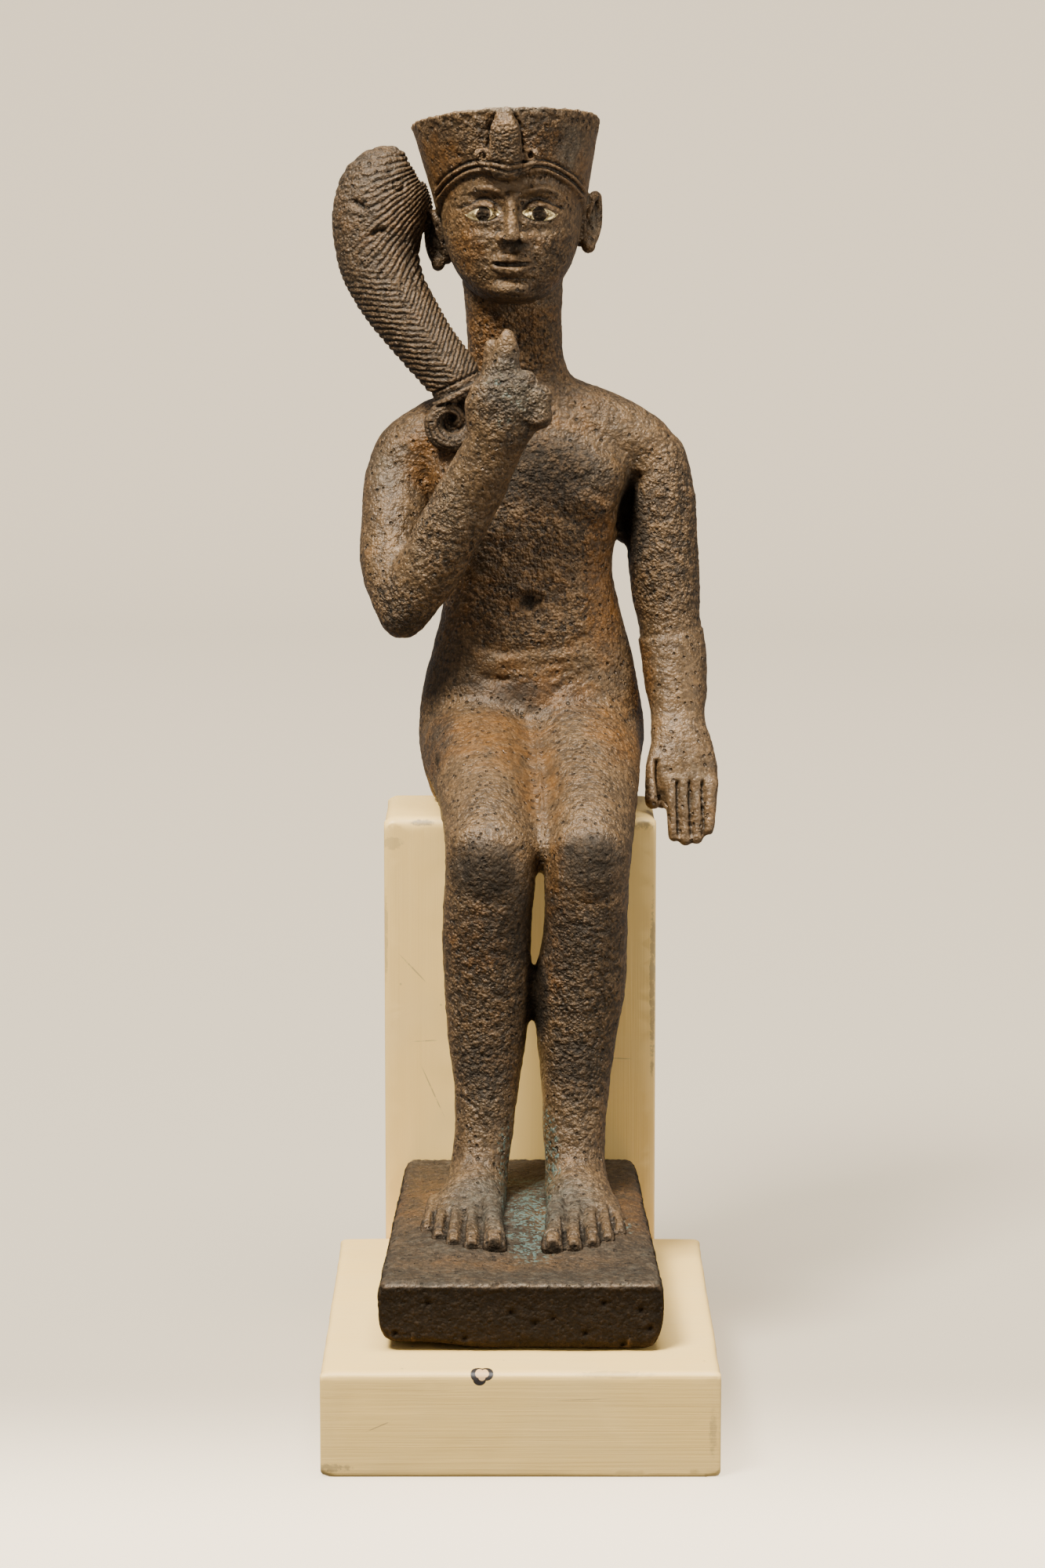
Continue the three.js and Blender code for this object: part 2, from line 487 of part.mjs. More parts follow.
// Toes lie on the plate and run back into the foot.
function makeToes(toes, foot) {
  const [ballX, ballY] = foot[foot.length - 1];
  return toes.map(([x, tipY, half]) => {
    const back = Math.max(tipY + toe.length, ballY + 3);
    const rootX = x + (ballX - x) * toe.rootDrift;
    const width = half * toe.widening;
    return limb([
      [rootX, back, plateTop(back) + toe.rise * 0.9, width, half * 1.9],
      [x + (rootX - x) * 0.4, tipY + toe.length * 0.45, plateTop(tipY) + toe.rise, width, half * 1.55],
      [x, tipY + 1.6, plateTop(tipY) + toe.rise * 0.3, width, half * 1.25],
    ], { sides: 6, domes: [0, 1.5] });
  });
}

function makeLegs() {
  const thighs = [rightThigh, leftThigh].map((stations) => limb(stations, { domes: [0, 10.4] }));
  const shins = [rightShin, leftShin].map((stations) => limb(stations, { upright: true, domes: [6.4, 0] }));
  const feet = [rightFoot, leftFoot].map((stations) => limb(stations, { sides: 10, domes: [5, 2.6] }));
  const web = limb(webBetweenThighs, { sides: 6, domes: [0, 2.4] });
  return [
    ...thighs, ...shins, ...feet, web,
    ...makeToes(rightToes, rightFoot), ...makeToes(leftToes, leftFoot),
  ];
}

const makeTrunk = () => [
  limb(torso, { sides: 18, upright: true, power: 2.25 }),
  limb(shoulders, { hint: [0, 1, 0], domes: [4, 6.4] }),
  ...chest.x.map((x) => ellipsoid(x, chest, 10, 6)),
  ellipsoid(belly.x, belly), ellipsoid(groin.x, groin),
  limb(armpit, { sides: 6, upright: true, domes: [2, 0] }),
];

const makeArms = () => [
  limb(hangingArm, { domes: [5.2, 1] }),
  limb(raisedUpperArm, { domes: [5.2, 5.6] }),
  limb(raisedForearm, { domes: [5.6, 2], hint: [1, 0, 0.6] }),
  ...makeHangingHand(), ...makeRaisedHand(),
];

function makePlate() {
  const bottom = slab.height + gap;
  return block(plate, [
    ...plateFoot.map(([rise, inset, ends]) => ({ z: bottom + rise, inset, ends })),
    { z: (y) => plateTop(y) - plateLedge.drop, inset: 0, ends: plateLedge.ends },
    { z: plateTop, ...plateRim },
  ]);
}

const seatShape = (spare = 0) => ({
  front: slab.depth - spare, back: slab.depth + seat.depth + spare, frontHalfWidth: seat.width / 2 + spare,
  backHalfWidth: seat.width / 2 + spare, frontCorner: seat.corner, backCorner: seat.corner,
});
const seatLayers = (spare = 0) => [{ z: -spare, inset: 0 }, ...roundedTop(seat.height + spare, seat.topEdge)];

function makeFigure() {
  const body = join([
    ...makeTrunk(), ...makeArms(), ...makeLegs(),
    ...makeHead(), ...makeCrown(), ...makeCobra(), ...makeLock(), makePlate(),
  ]);
  const withEars = ears.reduce((sum, place) => sum.add(makeEar(place)), body);
  const withNavel = withEars.subtract(toSolid(ellipsoid(navel.x, navel, 8, 6)));
  const socket = (side) => toSolid(eyePrism(side, 0, -4, face.eyeDepth));
  const carved = [-1, 1].reduce((sum, side) => sum.subtract(socket(side)), withNavel);
  const seated = carved.subtract(toSolid(block(seatShape(gap), seatLayers(gap))));
  return [-1, 1].reduce((sum, side) => sum.add(toSolid(irisBoss(side))), seated);
}

const eyeInlay = (side) => eyePrism(side, gap, 0, face.eyeDepth - gap, face.irisRadius + 0.8 * gap);

function addPiece(group, name, geometry, finish) {
  const mesh = new THREE.Mesh(toGeometry(toSolid(geometry)), finish);
  mesh.name = name;
  group.add(mesh);
}

const group = new THREE.Group();
group.position.y = -slab.depth / 2;

const slabShape = {
  front: 0, back: slab.depth - gap, frontHalfWidth: slab.width / 2, backHalfWidth: slab.width / 2,
  frontCorner: slab.corner, backCorner: slab.corner,
};
const slabLayers = [{ z: 0, inset: 0 }, ...roundedTop(slab.height, slab.topEdge)];
addPiece(group, 'base_slab', block(slabShape, slabLayers), paintFinish);
addPiece(group, 'seat_block', block(seatShape(), seatLayers()), paintFinish);
addPiece(group, 'bronze_figure', toGeometry(makeFigure()), bronzeFinish);
addPiece(group, 'eye_inlay_right', eyeInlay(-1), goldFinish);
addPiece(group, 'eye_inlay_left', eyeInlay(1), goldFinish);

export default group;
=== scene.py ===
import math

import bpy
import numpy as np
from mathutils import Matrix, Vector
from mathutils.bvhtree import BVHTree


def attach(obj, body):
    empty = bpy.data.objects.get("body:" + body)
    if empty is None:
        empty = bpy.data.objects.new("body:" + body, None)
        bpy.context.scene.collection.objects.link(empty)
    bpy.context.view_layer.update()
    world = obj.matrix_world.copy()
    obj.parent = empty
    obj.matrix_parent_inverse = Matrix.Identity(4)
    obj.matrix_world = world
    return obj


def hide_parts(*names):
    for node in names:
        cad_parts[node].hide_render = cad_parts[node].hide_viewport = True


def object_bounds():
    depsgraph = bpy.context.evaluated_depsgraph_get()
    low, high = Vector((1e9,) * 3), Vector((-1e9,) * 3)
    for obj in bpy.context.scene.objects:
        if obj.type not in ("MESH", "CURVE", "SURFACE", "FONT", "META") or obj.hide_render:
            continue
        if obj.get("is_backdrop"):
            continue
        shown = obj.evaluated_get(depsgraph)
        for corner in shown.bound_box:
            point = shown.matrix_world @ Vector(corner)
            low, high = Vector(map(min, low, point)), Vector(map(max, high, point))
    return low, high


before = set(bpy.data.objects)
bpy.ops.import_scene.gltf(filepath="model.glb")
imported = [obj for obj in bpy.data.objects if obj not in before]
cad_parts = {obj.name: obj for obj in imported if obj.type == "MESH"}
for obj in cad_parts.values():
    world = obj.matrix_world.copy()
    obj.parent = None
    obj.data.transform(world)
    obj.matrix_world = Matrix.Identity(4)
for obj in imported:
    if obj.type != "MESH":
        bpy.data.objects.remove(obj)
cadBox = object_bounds()

# Every table below is in millimetres: x to the figure's left, y back from the slab's front, z up.
mm = 0.001
slabDepth = 115.2
gap = 0.3


def pick(*objs):
    for obj in list(bpy.context.selected_objects):
        obj.select_set(False)
    for obj in objs:
        obj.select_set(True)
    if objs:
        bpy.context.view_layer.objects.active = objs[0]


def readAll(items, key, size=3, kind=float):
    flat = np.empty(len(items) * size, kind)
    items.foreach_get(key, flat)
    return flat.reshape(-1, size)


def getPoints(obj):
    points = readAll(obj.data.vertices, "co") / mm
    points[:, 1] += slabDepth / 2
    return points


def setPoints(obj, points):
    flat = points.copy()
    flat[:, 1] -= slabDepth / 2
    obj.data.vertices.foreach_set("co", (flat * mm).ravel())
    obj.data.update()


def getSurface(obj):
    return getPoints(obj), readAll(obj.data.vertex_normals, "vector")


def applyModifier(obj, kind, name, **settings):
    pick(obj)
    modifier = obj.modifiers.new(name, kind)
    for key, value in settings.items():
        setattr(modifier, key, value)
    bpy.ops.object.modifier_apply(modifier=name)


def remesh(obj, voxel):
    applyModifier(obj, "REMESH", "skin", mode="VOXEL", voxel_size=voxel * mm, adaptivity=0)


def onWholeMesh(obj, action, **settings):
    pick(obj)
    bpy.ops.object.mode_set(mode="EDIT")
    bpy.ops.mesh.select_all(action="SELECT")
    action(**settings)
    bpy.ops.object.mode_set(mode="OBJECT")


def bevelEdges(obj, chosen, width, segments):
    # rounds the edges that chosen accepts by the heights of their two ends, and softens earlier roundings
    pick(obj)
    for edge in obj.data.edges:
        low, high = sorted(obj.data.vertices[i].co.z / mm for i in edge.vertices)
        edge.select = chosen(low, high)
    bpy.ops.object.mode_set(mode="EDIT")
    bpy.ops.mesh.bevel(offset=width * mm, segments=segments)
    bpy.ops.object.mode_set(mode="OBJECT")


def newCube(name):
    pick()
    bpy.ops.mesh.primitive_cube_add(size=2)
    obj = bpy.context.object
    obj.name = obj.data.name = name
    bpy.ops.object.mode_set(mode="EDIT")
    bpy.ops.mesh.select_mode(type="EDGE")
    bpy.ops.mesh.select_all(action="DESELECT")
    bpy.ops.object.mode_set(mode="OBJECT")
    return obj


def triangles(obj):
    return sum(len(face.vertices) - 2 for face in obj.data.polygons)


def smoothStep(low, high, value):
    t = np.clip((value - low) / (high - low), 0, 1)
    return t * t * (3 - 2 * t)


def smoothRun(stations, steps):
    pts = np.array(stations, float)
    last = len(pts) - 1
    run = []
    for i in range(last):
        p0, p1, p2, p3 = pts[max(i - 1, 0)], pts[i], pts[i + 1], pts[min(i + 2, last)]
        for k in range(steps):
            t = k / steps
            bend = (2 * p0 - 5 * p1 + 4 * p2 - p3) * t ** 2 + (3 * p1 - p0 - 3 * p2 + p3) * t ** 3
            run.append(0.5 * (2 * p1 + (p2 - p0) * t + bend))
    run.append(pts[-1])
    return np.array(run)


def wrapRings(rings, startTip, endTip):
    # a sphere's rings are moved onto the sections, its poles onto the two tips
    count, sides = len(rings), len(rings[0])
    bpy.ops.mesh.primitive_uv_sphere_add(segments=sides, ring_count=count + 1, radius=1)
    obj = bpy.context.object
    sphere = readAll(obj.data.vertices, "co")
    level = np.rint(np.arccos(np.clip(sphere[:, 2], -1, 1)) / math.pi * (count + 1)).astype(int)
    turn = np.rint(np.arctan2(sphere[:, 1], sphere[:, 0]) / (2 * math.pi) * sides).astype(int) % sides
    points = np.empty_like(sphere)
    inner = (level > 0) & (level <= count)
    points[inner] = np.array(rings)[count - level[inner], turn[inner]]
    points[level == 0] = endTip
    points[level == count + 1] = startTip
    setPoints(obj, points)
    return obj


def limb(stations, sides=32, steps=5, hint=(1, 0, 0), domes=(0, 0), upright=False, power=2):
    # an oval tube through stations of [x, y, z, half width, half depth], with domed ends
    run = smoothRun(stations, steps)
    centres = run[:, :3]
    angles = np.arange(sides) * 2 * math.pi / sides
    reach = lambda v: np.sign(v) * np.abs(v) ** (2 / power)
    frames = []
    for i in range(len(run)):
        if upright:
            ahead = np.array([0, 0, np.sign(centres[-1][2] - centres[0][2])])
        else:
            ahead = centres[min(i + 1, len(run) - 1)] - centres[max(i - 1, 0)]
            ahead = ahead / np.linalg.norm(ahead)
        side = np.array(hint, float)
        side -= ahead * side.dot(ahead)
        side /= np.linalg.norm(side)
        frames.append((centres[i], ahead, side, np.cross(ahead, side), run[i][3], run[i][4]))

    def ring(f, shift, scale):
        centre, ahead, side, depth, a, b = f
        across = np.outer(a * scale * reach(np.cos(angles)), side)
        return centre + ahead * shift + across + np.outer(b * scale * reach(np.sin(angles)), depth)

    heights = [math.sin(math.radians(d)) for d in (78, 62, 44, 24)]
    start = [ring(frames[0], -h * domes[0], math.sqrt(1 - h * h)) for h in heights] if domes[0] else []
    end = [ring(frames[-1], h * domes[1], math.sqrt(1 - h * h)) for h in heights[::-1]] if domes[1] else []
    startTip = frames[0][0] - frames[0][1] * domes[0]
    endTip = frames[-1][0] + frames[-1][1] * domes[1]
    return wrapRings(start + [ring(f, 0, 1) for f in frames] + end, startTip, endTip)


def tube(points, sides, steps, hint=(0, 1, 0)):
    # a round tube through points of [x, y, z, radius]
    full = [list(p) + [p[3]] for p in points]
    return limb(full, sides, steps, hint, (full[0][3], full[-1][3]))


def ball(x, y, z, size):
    bpy.ops.mesh.primitive_uv_sphere_add(segments=32, ring_count=20, radius=1)
    obj = bpy.context.object
    setPoints(obj, readAll(obj.data.vertices, "co") * np.array(size) + np.array([x, y, z]))
    return obj


def fuse(name, parts, voxel):
    # all parts become one closed skin
    pick(*parts)
    bpy.ops.object.join()
    obj = bpy.context.object
    obj.name = obj.data.name = name
    remesh(obj, voxel)
    print(name, "fused", triangles(obj))
    return obj


def edgeArrays(obj):
    pairs = readAll(obj.data.edges, "vertices", 2, int)
    count = np.bincount(pairs.ravel(), minlength=len(obj.data.vertices)).astype(float)
    return pairs[:, 0], pairs[:, 1], np.maximum(count, 1)


def neighbourMean(values, edges):
    a, b, count = edges
    total = np.zeros_like(values)
    for c in range(values.shape[1]):
        total[:, c] = np.bincount(a, values[b, c], len(count)) + np.bincount(b, values[a, c], len(count))
    return total / count[:, None]


def relax(obj, weight, rounds):
    points, edges = getPoints(obj), edgeArrays(obj)
    strength = (np.full(len(points), 0.5) * weight)[:, None]
    for _ in range(rounds):
        points += (neighbourMean(points, edges) - points) * strength
    setPoints(obj, points)


def blob(points, row):
    # 1 at the centre, fading to 0 at the edge of a soft ellipsoid [x, y, z, half x, half y, half z]
    span = np.linalg.norm((points - np.array(row[:3])) / np.array(row[3:6]), axis=1)
    return smoothStep(1.25, 0.35, span)


def raiseTo(values, p, rows, within=1):
    # a row's seventh number is the least value in its ellipsoid
    for row in rows:
        values = np.maximum(values, row[6] * blob(p, row) * within)
    return values


def fadeTo(values, p, rows):
    # a row's seventh number takes the place of the value in its ellipsoid
    for row in rows:
        mask = blob(p, row)
        values = values * (1 - mask) + row[6] * mask
    return values


def stroke(points, path, width, fade=0.12, steps=6, axes=(0, 2)):
    # 1 on a soft line drawn in the front view, fading at both ends
    run = smoothRun([list(p) for p in path], steps)
    flat = points[:, list(axes)]
    lengths = np.linalg.norm(run[1:] - run[:-1], axis=1)
    starts = np.concatenate([[0], np.cumsum(lengths)[:-1]])
    best = np.full(len(points), 1e9)
    along = np.zeros(len(points))
    for i, length in enumerate(lengths):
        step = (run[i + 1] - run[i]) / length
        t = np.clip((flat - run[i]) @ step, 0, length)
        gone = np.linalg.norm(flat - run[i] - np.outer(t, step), axis=1)
        closer = gone < best
        best[closer] = gone[closer]
        along[closer] = (starts[i] + t[closer]) / lengths.sum()
    return np.exp(-(best / width) ** 2) * smoothStep(0, fade, along) * smoothStep(1, 1 - fade, along)


def carve(p, mask, rows):
    # a row is [height, width, fade at the ends, points of the line]
    return sum(height * mask * stroke(p, path, width, fade) for height, width, fade, path in rows)


def displace(obj, name, scale, strength, group="", depth=1):
    texture = bpy.data.textures.new(name, "CLOUDS")
    texture.noise_scale = scale * mm
    texture.noise_depth = depth
    applyModifier(obj, "DISPLACE", name, texture=texture, texture_coords="LOCAL", strength=strength * mm,
                  mid_level=0.5, vertex_group=group)


def setGroup(obj, name, weight):
    group = obj.vertex_groups.get(name) or obj.vertex_groups.new(name=name)
    levels = np.clip(np.rint(weight * 16), 0, 16).astype(int)
    for level in range(17):
        members = np.nonzero(levels == level)[0].tolist()
        if members:
            group.add(members, level / 16, "REPLACE")


def thin(obj, limit, keep=None):
    # fewer triangles, with the finest ones left where keep is high
    ratio = limit / triangles(obj)
    if ratio < 1:
        settings = {"ratio": ratio}
        if keep is not None:
            setGroup(obj, "keep", keep)
            settings.update(vertex_group="keep", invert_vertex_group=True, vertex_group_factor=1.5)
        applyModifier(obj, "DECIMATE", "thin", **settings)
    obj.vertex_groups.clear()


def hollows(obj, rounds):
    # how sharply the surface bends, from 0 on ridges to 1 in grooves
    sharpBend = 1.6
    points, normals = getSurface(obj)
    edges = edgeArrays(obj)
    a, b, count = edges
    squares = ((points[a] - points[b]) ** 2).sum(axis=1)
    size = (np.bincount(a, squares, len(count)) + np.bincount(b, squares, len(count))) / count
    bend = 2 * ((neighbourMean(points, edges) - points) * normals).sum(axis=1) / np.maximum(size, 0.01)
    bend = bend[:, None]
    for _ in range(rounds):
        bend = 0.5 * bend + 0.5 * neighbourMean(bend, edges)
    return 0.5 + 0.5 * np.clip(bend[:, 0] / sharpBend, -1, 1)


def paint(obj, name, *channels):
    layer = obj.data.color_attributes.new(name, "FLOAT_COLOR", "POINT")
    colours = np.ones((len(obj.data.vertices), 4))
    for c, channel in enumerate(channels):
        colours[:, c] = np.clip(channel, 0, 1)
    layer.data.foreach_set("color", colours.ravel())


def finishPiece(obj, material, node):
    # nothing stands outside the solids' box
    low, high = (np.array(corner) / mm + [0, slabDepth / 2, 0] for corner in cadBox)
    setPoints(obj, np.clip(getPoints(obj), low + [0.01, 0.01, 0], high - 0.01))
    pick(obj)
    bpy.ops.object.shade_smooth()
    obj.data.materials.clear()
    obj.data.materials.append(material)
    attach(obj, "root")
    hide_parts(node)
    print(obj.name, triangles(obj), "triangles")


def finishBronze(obj, tone, rough, green, rounds=2):
    paint(obj, "tone", *tone)
    paint(obj, "skin", rough, green, hollows(obj, rounds))
    finishPiece(obj, bronze, "bronze_figure")


def newMaterial(name, metallic, roughness):
    material = bpy.data.materials.new(name)
    material.use_nodes = True
    nodes, links = material.node_tree.nodes, material.node_tree.links
    nodes.clear()
    shader = nodes.new("ShaderNodeBsdfPrincipled")
    shader.inputs["Metallic"].default_value = metallic
    shader.inputs["Roughness"].default_value = roughness
    links.new(shader.outputs[0], nodes.new("ShaderNodeOutputMaterial").inputs[0])

    def feed(socket, value):
        if isinstance(value, bpy.types.NodeSocket):
            links.new(value, socket)
        else:
            socket.default_value = value

    def add(kind, inputs=None, **settings):
        node = nodes.new("ShaderNode" + kind)
        for key, value in settings.items():
            setattr(node, key, value)
        for key, value in (inputs or {}).items():
            feed(node.inputs[key], value)
        return node

    return material, shader, feed, add


def toolkit(add):
    # short forms of the nodes that the materials share
    where = add("TexCoord").outputs["Object"]

    def place(scale=(1, 1, 1), turn=(0, 0, 0), shift=(0, 0, 0)):
        # the point on the piece in millimetres
        size = [s / mm for s in scale]
        inputs = {"Vector": where, "Scale": size, "Rotation": turn, "Location": shift}
        return add("Mapping", inputs).outputs[0]

    def noise(vector, scale, detail=2, rough=0.5, distortion=0):
        return add("TexNoise", {"Vector": vector, "Scale": scale, "Detail": detail, "Roughness": rough,
                                "Distortion": distortion}).outputs[0]

    def grains(vector, scale):
        # distance from the middle of each grain, and a random value for each grain
        node = add("TexVoronoi", {"Vector": vector, "Scale": scale})
        return node.outputs["Distance"], add("SeparateColor", {0: node.outputs["Color"]}).outputs[0]

    def ramp(value, low, high, fromValue=0, toValue=1):
        return add("MapRange", {"Value": value, "From Min": low, "From Max": high, "To Min": fromValue,
                                "To Max": toValue}, interpolation_type="SMOOTHSTEP").outputs[0]

    def plus(a, b):
        return add("Math", {0: a, 1: b}, operation="ADD").outputs[0]

    def times(a, b):
        return add("Math", {0: a, 1: b}, operation="MULTIPLY").outputs[0]

    def mix(amount, a, b):
        return add("Mix", {0: amount, 6: a, 7: b}, data_type="RGBA").outputs[2]

    def split(name):
        colour = add("Attribute", attribute_name=name).outputs["Color"]
        return add("SeparateColor", {0: colour}).outputs

    return place, noise, grains, ramp, plus, times, mix, split


bronzeLook = {
    "dark": (0.01, 0.0075, 0.0045, 1), "brown": (0.132, 0.074, 0.029, 1), "light": (0.285, 0.17, 0.082, 1),
    "orange": (0.15, 0.06, 0.01, 1), "blueGrey": (0.11, 0.108, 0.08, 1),
    "verdigris": (0.062, 0.108, 0.088, 1), "metallic": 0.15, "darkMetal": 0.75, "specular": 0.5,
    "reliefDepth": 1.5, "sandDepth": 0.05, "pitSize": 2, "grains": 1.4, "lumps": 0.66,
    "shine": (1, 0.82, 0.64, 1),
}


def makeBronze():
    # patina: "tone" holds warm areas, dark areas (the patina's own dark and painted shade) and pale areas
    # (the patina's haze and painted highlights), "skin" holds roughness, verdigris and grooves
    look = bronzeLook
    dark, light = look["dark"], look["light"]
    material, shader, feed, add = newMaterial("patinatedBronze", look["metallic"], 0.5)
    place, noise, grains, ramp, plus, times, mix, split = toolkit(add)
    (warmTone, darkTone, paleTone), (rough, green, groove) = split("tone"), split("skin")
    plain = place()
    wobble = add("TexNoise", {"Vector": plain, "Scale": 0.9, "Detail": 2}).outputs["Color"]
    bent = add("VectorMath", {0: wobble, 1: (0.5, 0.5, 0.5)}, operation="MULTIPLY").outputs[0]
    bent = add("VectorMath", {0: plain, 1: bent}, operation="ADD").outputs[0]
    # rounded grains of two sizes, each of its own height, uneven ground and scattered deeper pits
    bigAway, bigRandom = grains(bent, look["lumps"])
    away, random = grains(bent, look["grains"])
    big = times(ramp(bigAway, 0, 0.9, 1, 0), ramp(bigRandom, 0, 1, 0.4, 1))
    small = times(ramp(away, 0, 0.9, 1, 0), ramp(random, 0, 1, 0.3, 1))
    uneven = noise(place(shift=(3, 8, 5)), 0.42, 4, 0.65)
    height = plus(times(big, 0.34), times(small, 0.3))
    height = plus(height, times(ramp(uneven, 0.3, 0.7), 0.36))
    fewer = noise(place(shift=(9, 4, 2)), 0.3)
    pit = times(ramp(grains(bent, 1 / look["pitSize"])[0], 0.14, 0.27, 1, 0), ramp(fewer, 0.42, 0.54))
    fine = noise(plain, 2.4, 3, 0.7)
    clouds = noise(plain, 0.085, 4, 0.6, 0.4)
    patches = noise(place(shift=(40, 10, 70)), 0.17, 5, 0.65, 0.2)
    patch = plus(patches, -0.5)

    body = mix(ramp(clouds, 0.4, 0.68, 0, 0.28), look["brown"], dark)
    body = mix(ramp(plus(warmTone, times(patch, 1.6)), 0.15, 1), body, look["orange"])
    # dark tone: the patina's own dark, and painted shade where the tone was set for it
    body = mix(ramp(plus(darkTone, times(patch, -0.8)), 0, 0.95, 0, 0.94), body, dark)
    # the pale tone turns the colour grey-blue: the patina's haze, and painted sheen and highlights where the
    # tone was set for them
    hazeAndSheen = plus(paleTone, times(plus(uneven, -0.5), 0.8))
    body = mix(ramp(hazeAndSheen, 0.3, 1.1, 0, 0.75), body, look["blueGrey"])
    pale = times(ramp(random, 0.45, 1), ramp(rough, 0, 1, 0.12, 0.3))
    body = mix(times(pale, ramp(darkTone, 0.1, 1, 1, 0.15)), body, light)
    tops = times(ramp(height, 0.5, 0.8), ramp(rough, 0.2, 1, 0, 0.35))
    body = mix(times(tops, ramp(darkTone, 0.1, 1, 1, 0.3)), body, light)
    gritty = ramp(rough, 0, 1, 0.26, 0.66)
    body = mix(times(ramp(random, 0.4, 0.05), gritty), body, dark)
    body = mix(times(ramp(height, 0.44, 0.24), gritty), body, dark)
    body = mix(times(pit, ramp(rough, 0, 1, 0.6, 0.95)), body, dark)
    # grooves darker, partly patina in the hollows and partly painted shade in the creases; sharp ridges a
    # little lighter
    body = mix(ramp(groove, 0.54, 0.85, 0, 0.9), body, dark)
    body = mix(ramp(groove, 0.46, 0.15, 0, 0.22), body, light)
    crust = plus(times(green, 0.9), times(patch, 1.5))
    crust = plus(crust, times(plus(random, -0.5), 1.2))
    crust = times(ramp(crust, 0.5, 0.95, 0, 0.8), ramp(green, 0.04, 0.3))
    feed(shader.inputs["Base Color"], mix(crust, body, look["verdigris"]))
    feed(shader.inputs["Specular IOR Level"], look["specular"])
    feed(shader.inputs["Specular Tint"], look["shine"])
    gloss = plus(ramp(fine, 0.3, 0.7, -0.06, 0.08), ramp(rough, 0, 1, 0.4, 0.56))
    feed(shader.inputs["Roughness"], plus(gloss, ramp(darkTone, 0.4, 0.9, 0, 0.32)))
    feed(shader.inputs["Metallic"], ramp(darkTone, 0.6, 1, look["metallic"], look["darkMetal"]))
    depth = times(height, ramp(rough, 0, 1, 0.06, 1))
    depth = plus(depth, times(pit, ramp(rough, 0, 1, -0.3, -0.6)))
    relief = add("Bump", {"Strength": 1, "Distance": look["reliefDepth"] * mm, "Height": depth}).outputs[0]
    sand = {"Strength": 1, "Distance": look["sandDepth"] * mm, "Height": fine, "Normal": relief}
    feed(shader.inputs["Normal"], add("Bump", sand).outputs[0])
    return material


goldLook = {"colour": (0.74, 0.55, 0.25, 1), "worn": (0.12, 0.075, 0.03, 1), "roughness": 0.36}


def makeGold():
    material, shader, feed, add = newMaterial("wornGold", 0.9, goldLook["roughness"])
    place, noise, _, ramp, plus, _, mix, _ = toolkit(add)
    wear = noise(place(), 1.1, 4, 0.65)
    feed(shader.inputs["Base Color"], mix(ramp(wear, 0.5, 0.62), goldLook["colour"], goldLook["worn"]))
    scratches = noise(place((1, 1, 5), (0, 0.5, 0)), 1.6, 3)
    bump = add("Bump", {"Strength": 0.6, "Distance": 0.12 * mm, "Height": plus(wear, scratches)})
    feed(shader.inputs["Normal"], bump.outputs[0])
    return material


paintLook = {
    "cream": (0.83, 0.54, 0.162, 1), "thin": (0.73, 0.455, 0.126, 1), "grime": (0.15, 0.115, 0.07, 1),
    "bright": (0.78, 0.53, 0.19, 1), "strokeDepth": 0.075, "heart": (0.02, 0.014, 0.01, 1),
    "bare": (0.66, 0.4, 0.17, 1),
}


def makePaint(name, grainAlong, marks, scratches, chips=()):
    # brush marks run along one axis; grime sits in marks given as (centre, size) on the piece
    look = paintLook
    material, shader, feed, add = newMaterial(name, 0, 0.52)
    place, noise, grains, ramp, plus, times, mix, _ = toolkit(add)
    where = place()
    hairs = noise(place([0.03 if axis == grainAlong else 2.6 for axis in "xyz"]), 1, 3, 0.6)
    bands = noise(place([0.012 if axis == grainAlong else 0.55 for axis in "xyz"]), 1, 3, 0.55)
    body = mix(ramp(bands, 0.35, 0.68, 0, 0.12), look["cream"], look["thin"])
    body = mix(ramp(hairs, 0.55, 0.75, 0, 0.12), body, look["thin"])
    body = mix(ramp(noise(where, 0.05, 3), 0.4, 0.7, 0, 0.4), body, look["bright"])
    dust = ramp(grains(where, 0.22)[0], 0.09, 0.03, 0, 0.6)
    body = mix(times(dust, ramp(noise(where, 0.09), 0.52, 0.6)), body, look["grime"])
    broken = noise(where, 0.55, 4, 0.7)

    def near(centre, size, turn=None):
        # distance from a point of the face, 1 at the edge of an ellipsoid of this size
        middle = [centre[0], centre[1] - slabDepth / 2, centre[2]]
        away = add("VectorMath", {0: where, 1: middle}, operation="SUBTRACT").outputs[0]
        if turn:
            away = add("VectorRotate", {"Vector": away, "Rotation": turn}, rotation_type="EULER_XYZ")
            away = away.outputs[0]
        away = add("VectorMath", {0: away, 1: [1 / s for s in size]}, operation="MULTIPLY").outputs[0]
        return add("VectorMath", {0: away}, operation="LENGTH").outputs["Value"]

    for centre, size, amount in marks:
        soft = ramp(near(centre, size), 1, 0.2)
        body = mix(ramp(times(soft, broken), 0.28, 0.46, 0, amount), body, look["grime"])
    for start, end, width in scratches:
        # a thin line between two points of the face
        span = Vector(end) - Vector(start)
        turn = span.normalized().to_track_quat("X", "Z").inverted().to_euler()
        gone = near((Vector(start) + Vector(end)) / 2, (span.length / 2, width, width), list(turn))
        line = times(ramp(gone, 1, 0.5), ramp(broken, 0.36, 0.5))
        body = mix(times(line, 0.55), body, look["grime"])
    for centre, size, colour in chips:
        body = mix(ramp(near(centre, size), 1.03, 0.93), body, look[colour])
    feed(shader.inputs["Base Color"], body)
    feed(shader.inputs["Roughness"], ramp(hairs, 0.3, 0.7, 0.44, 0.58))
    height = plus(times(hairs, 0.6), bands)
    bump = add("Bump", {"Strength": 1, "Distance": look["strokeDepth"] * mm, "Height": height})
    feed(shader.inputs["Normal"], bump.outputs[0])
    return material


bronze = makeBronze()
gold = makeGold()
print("materials made")


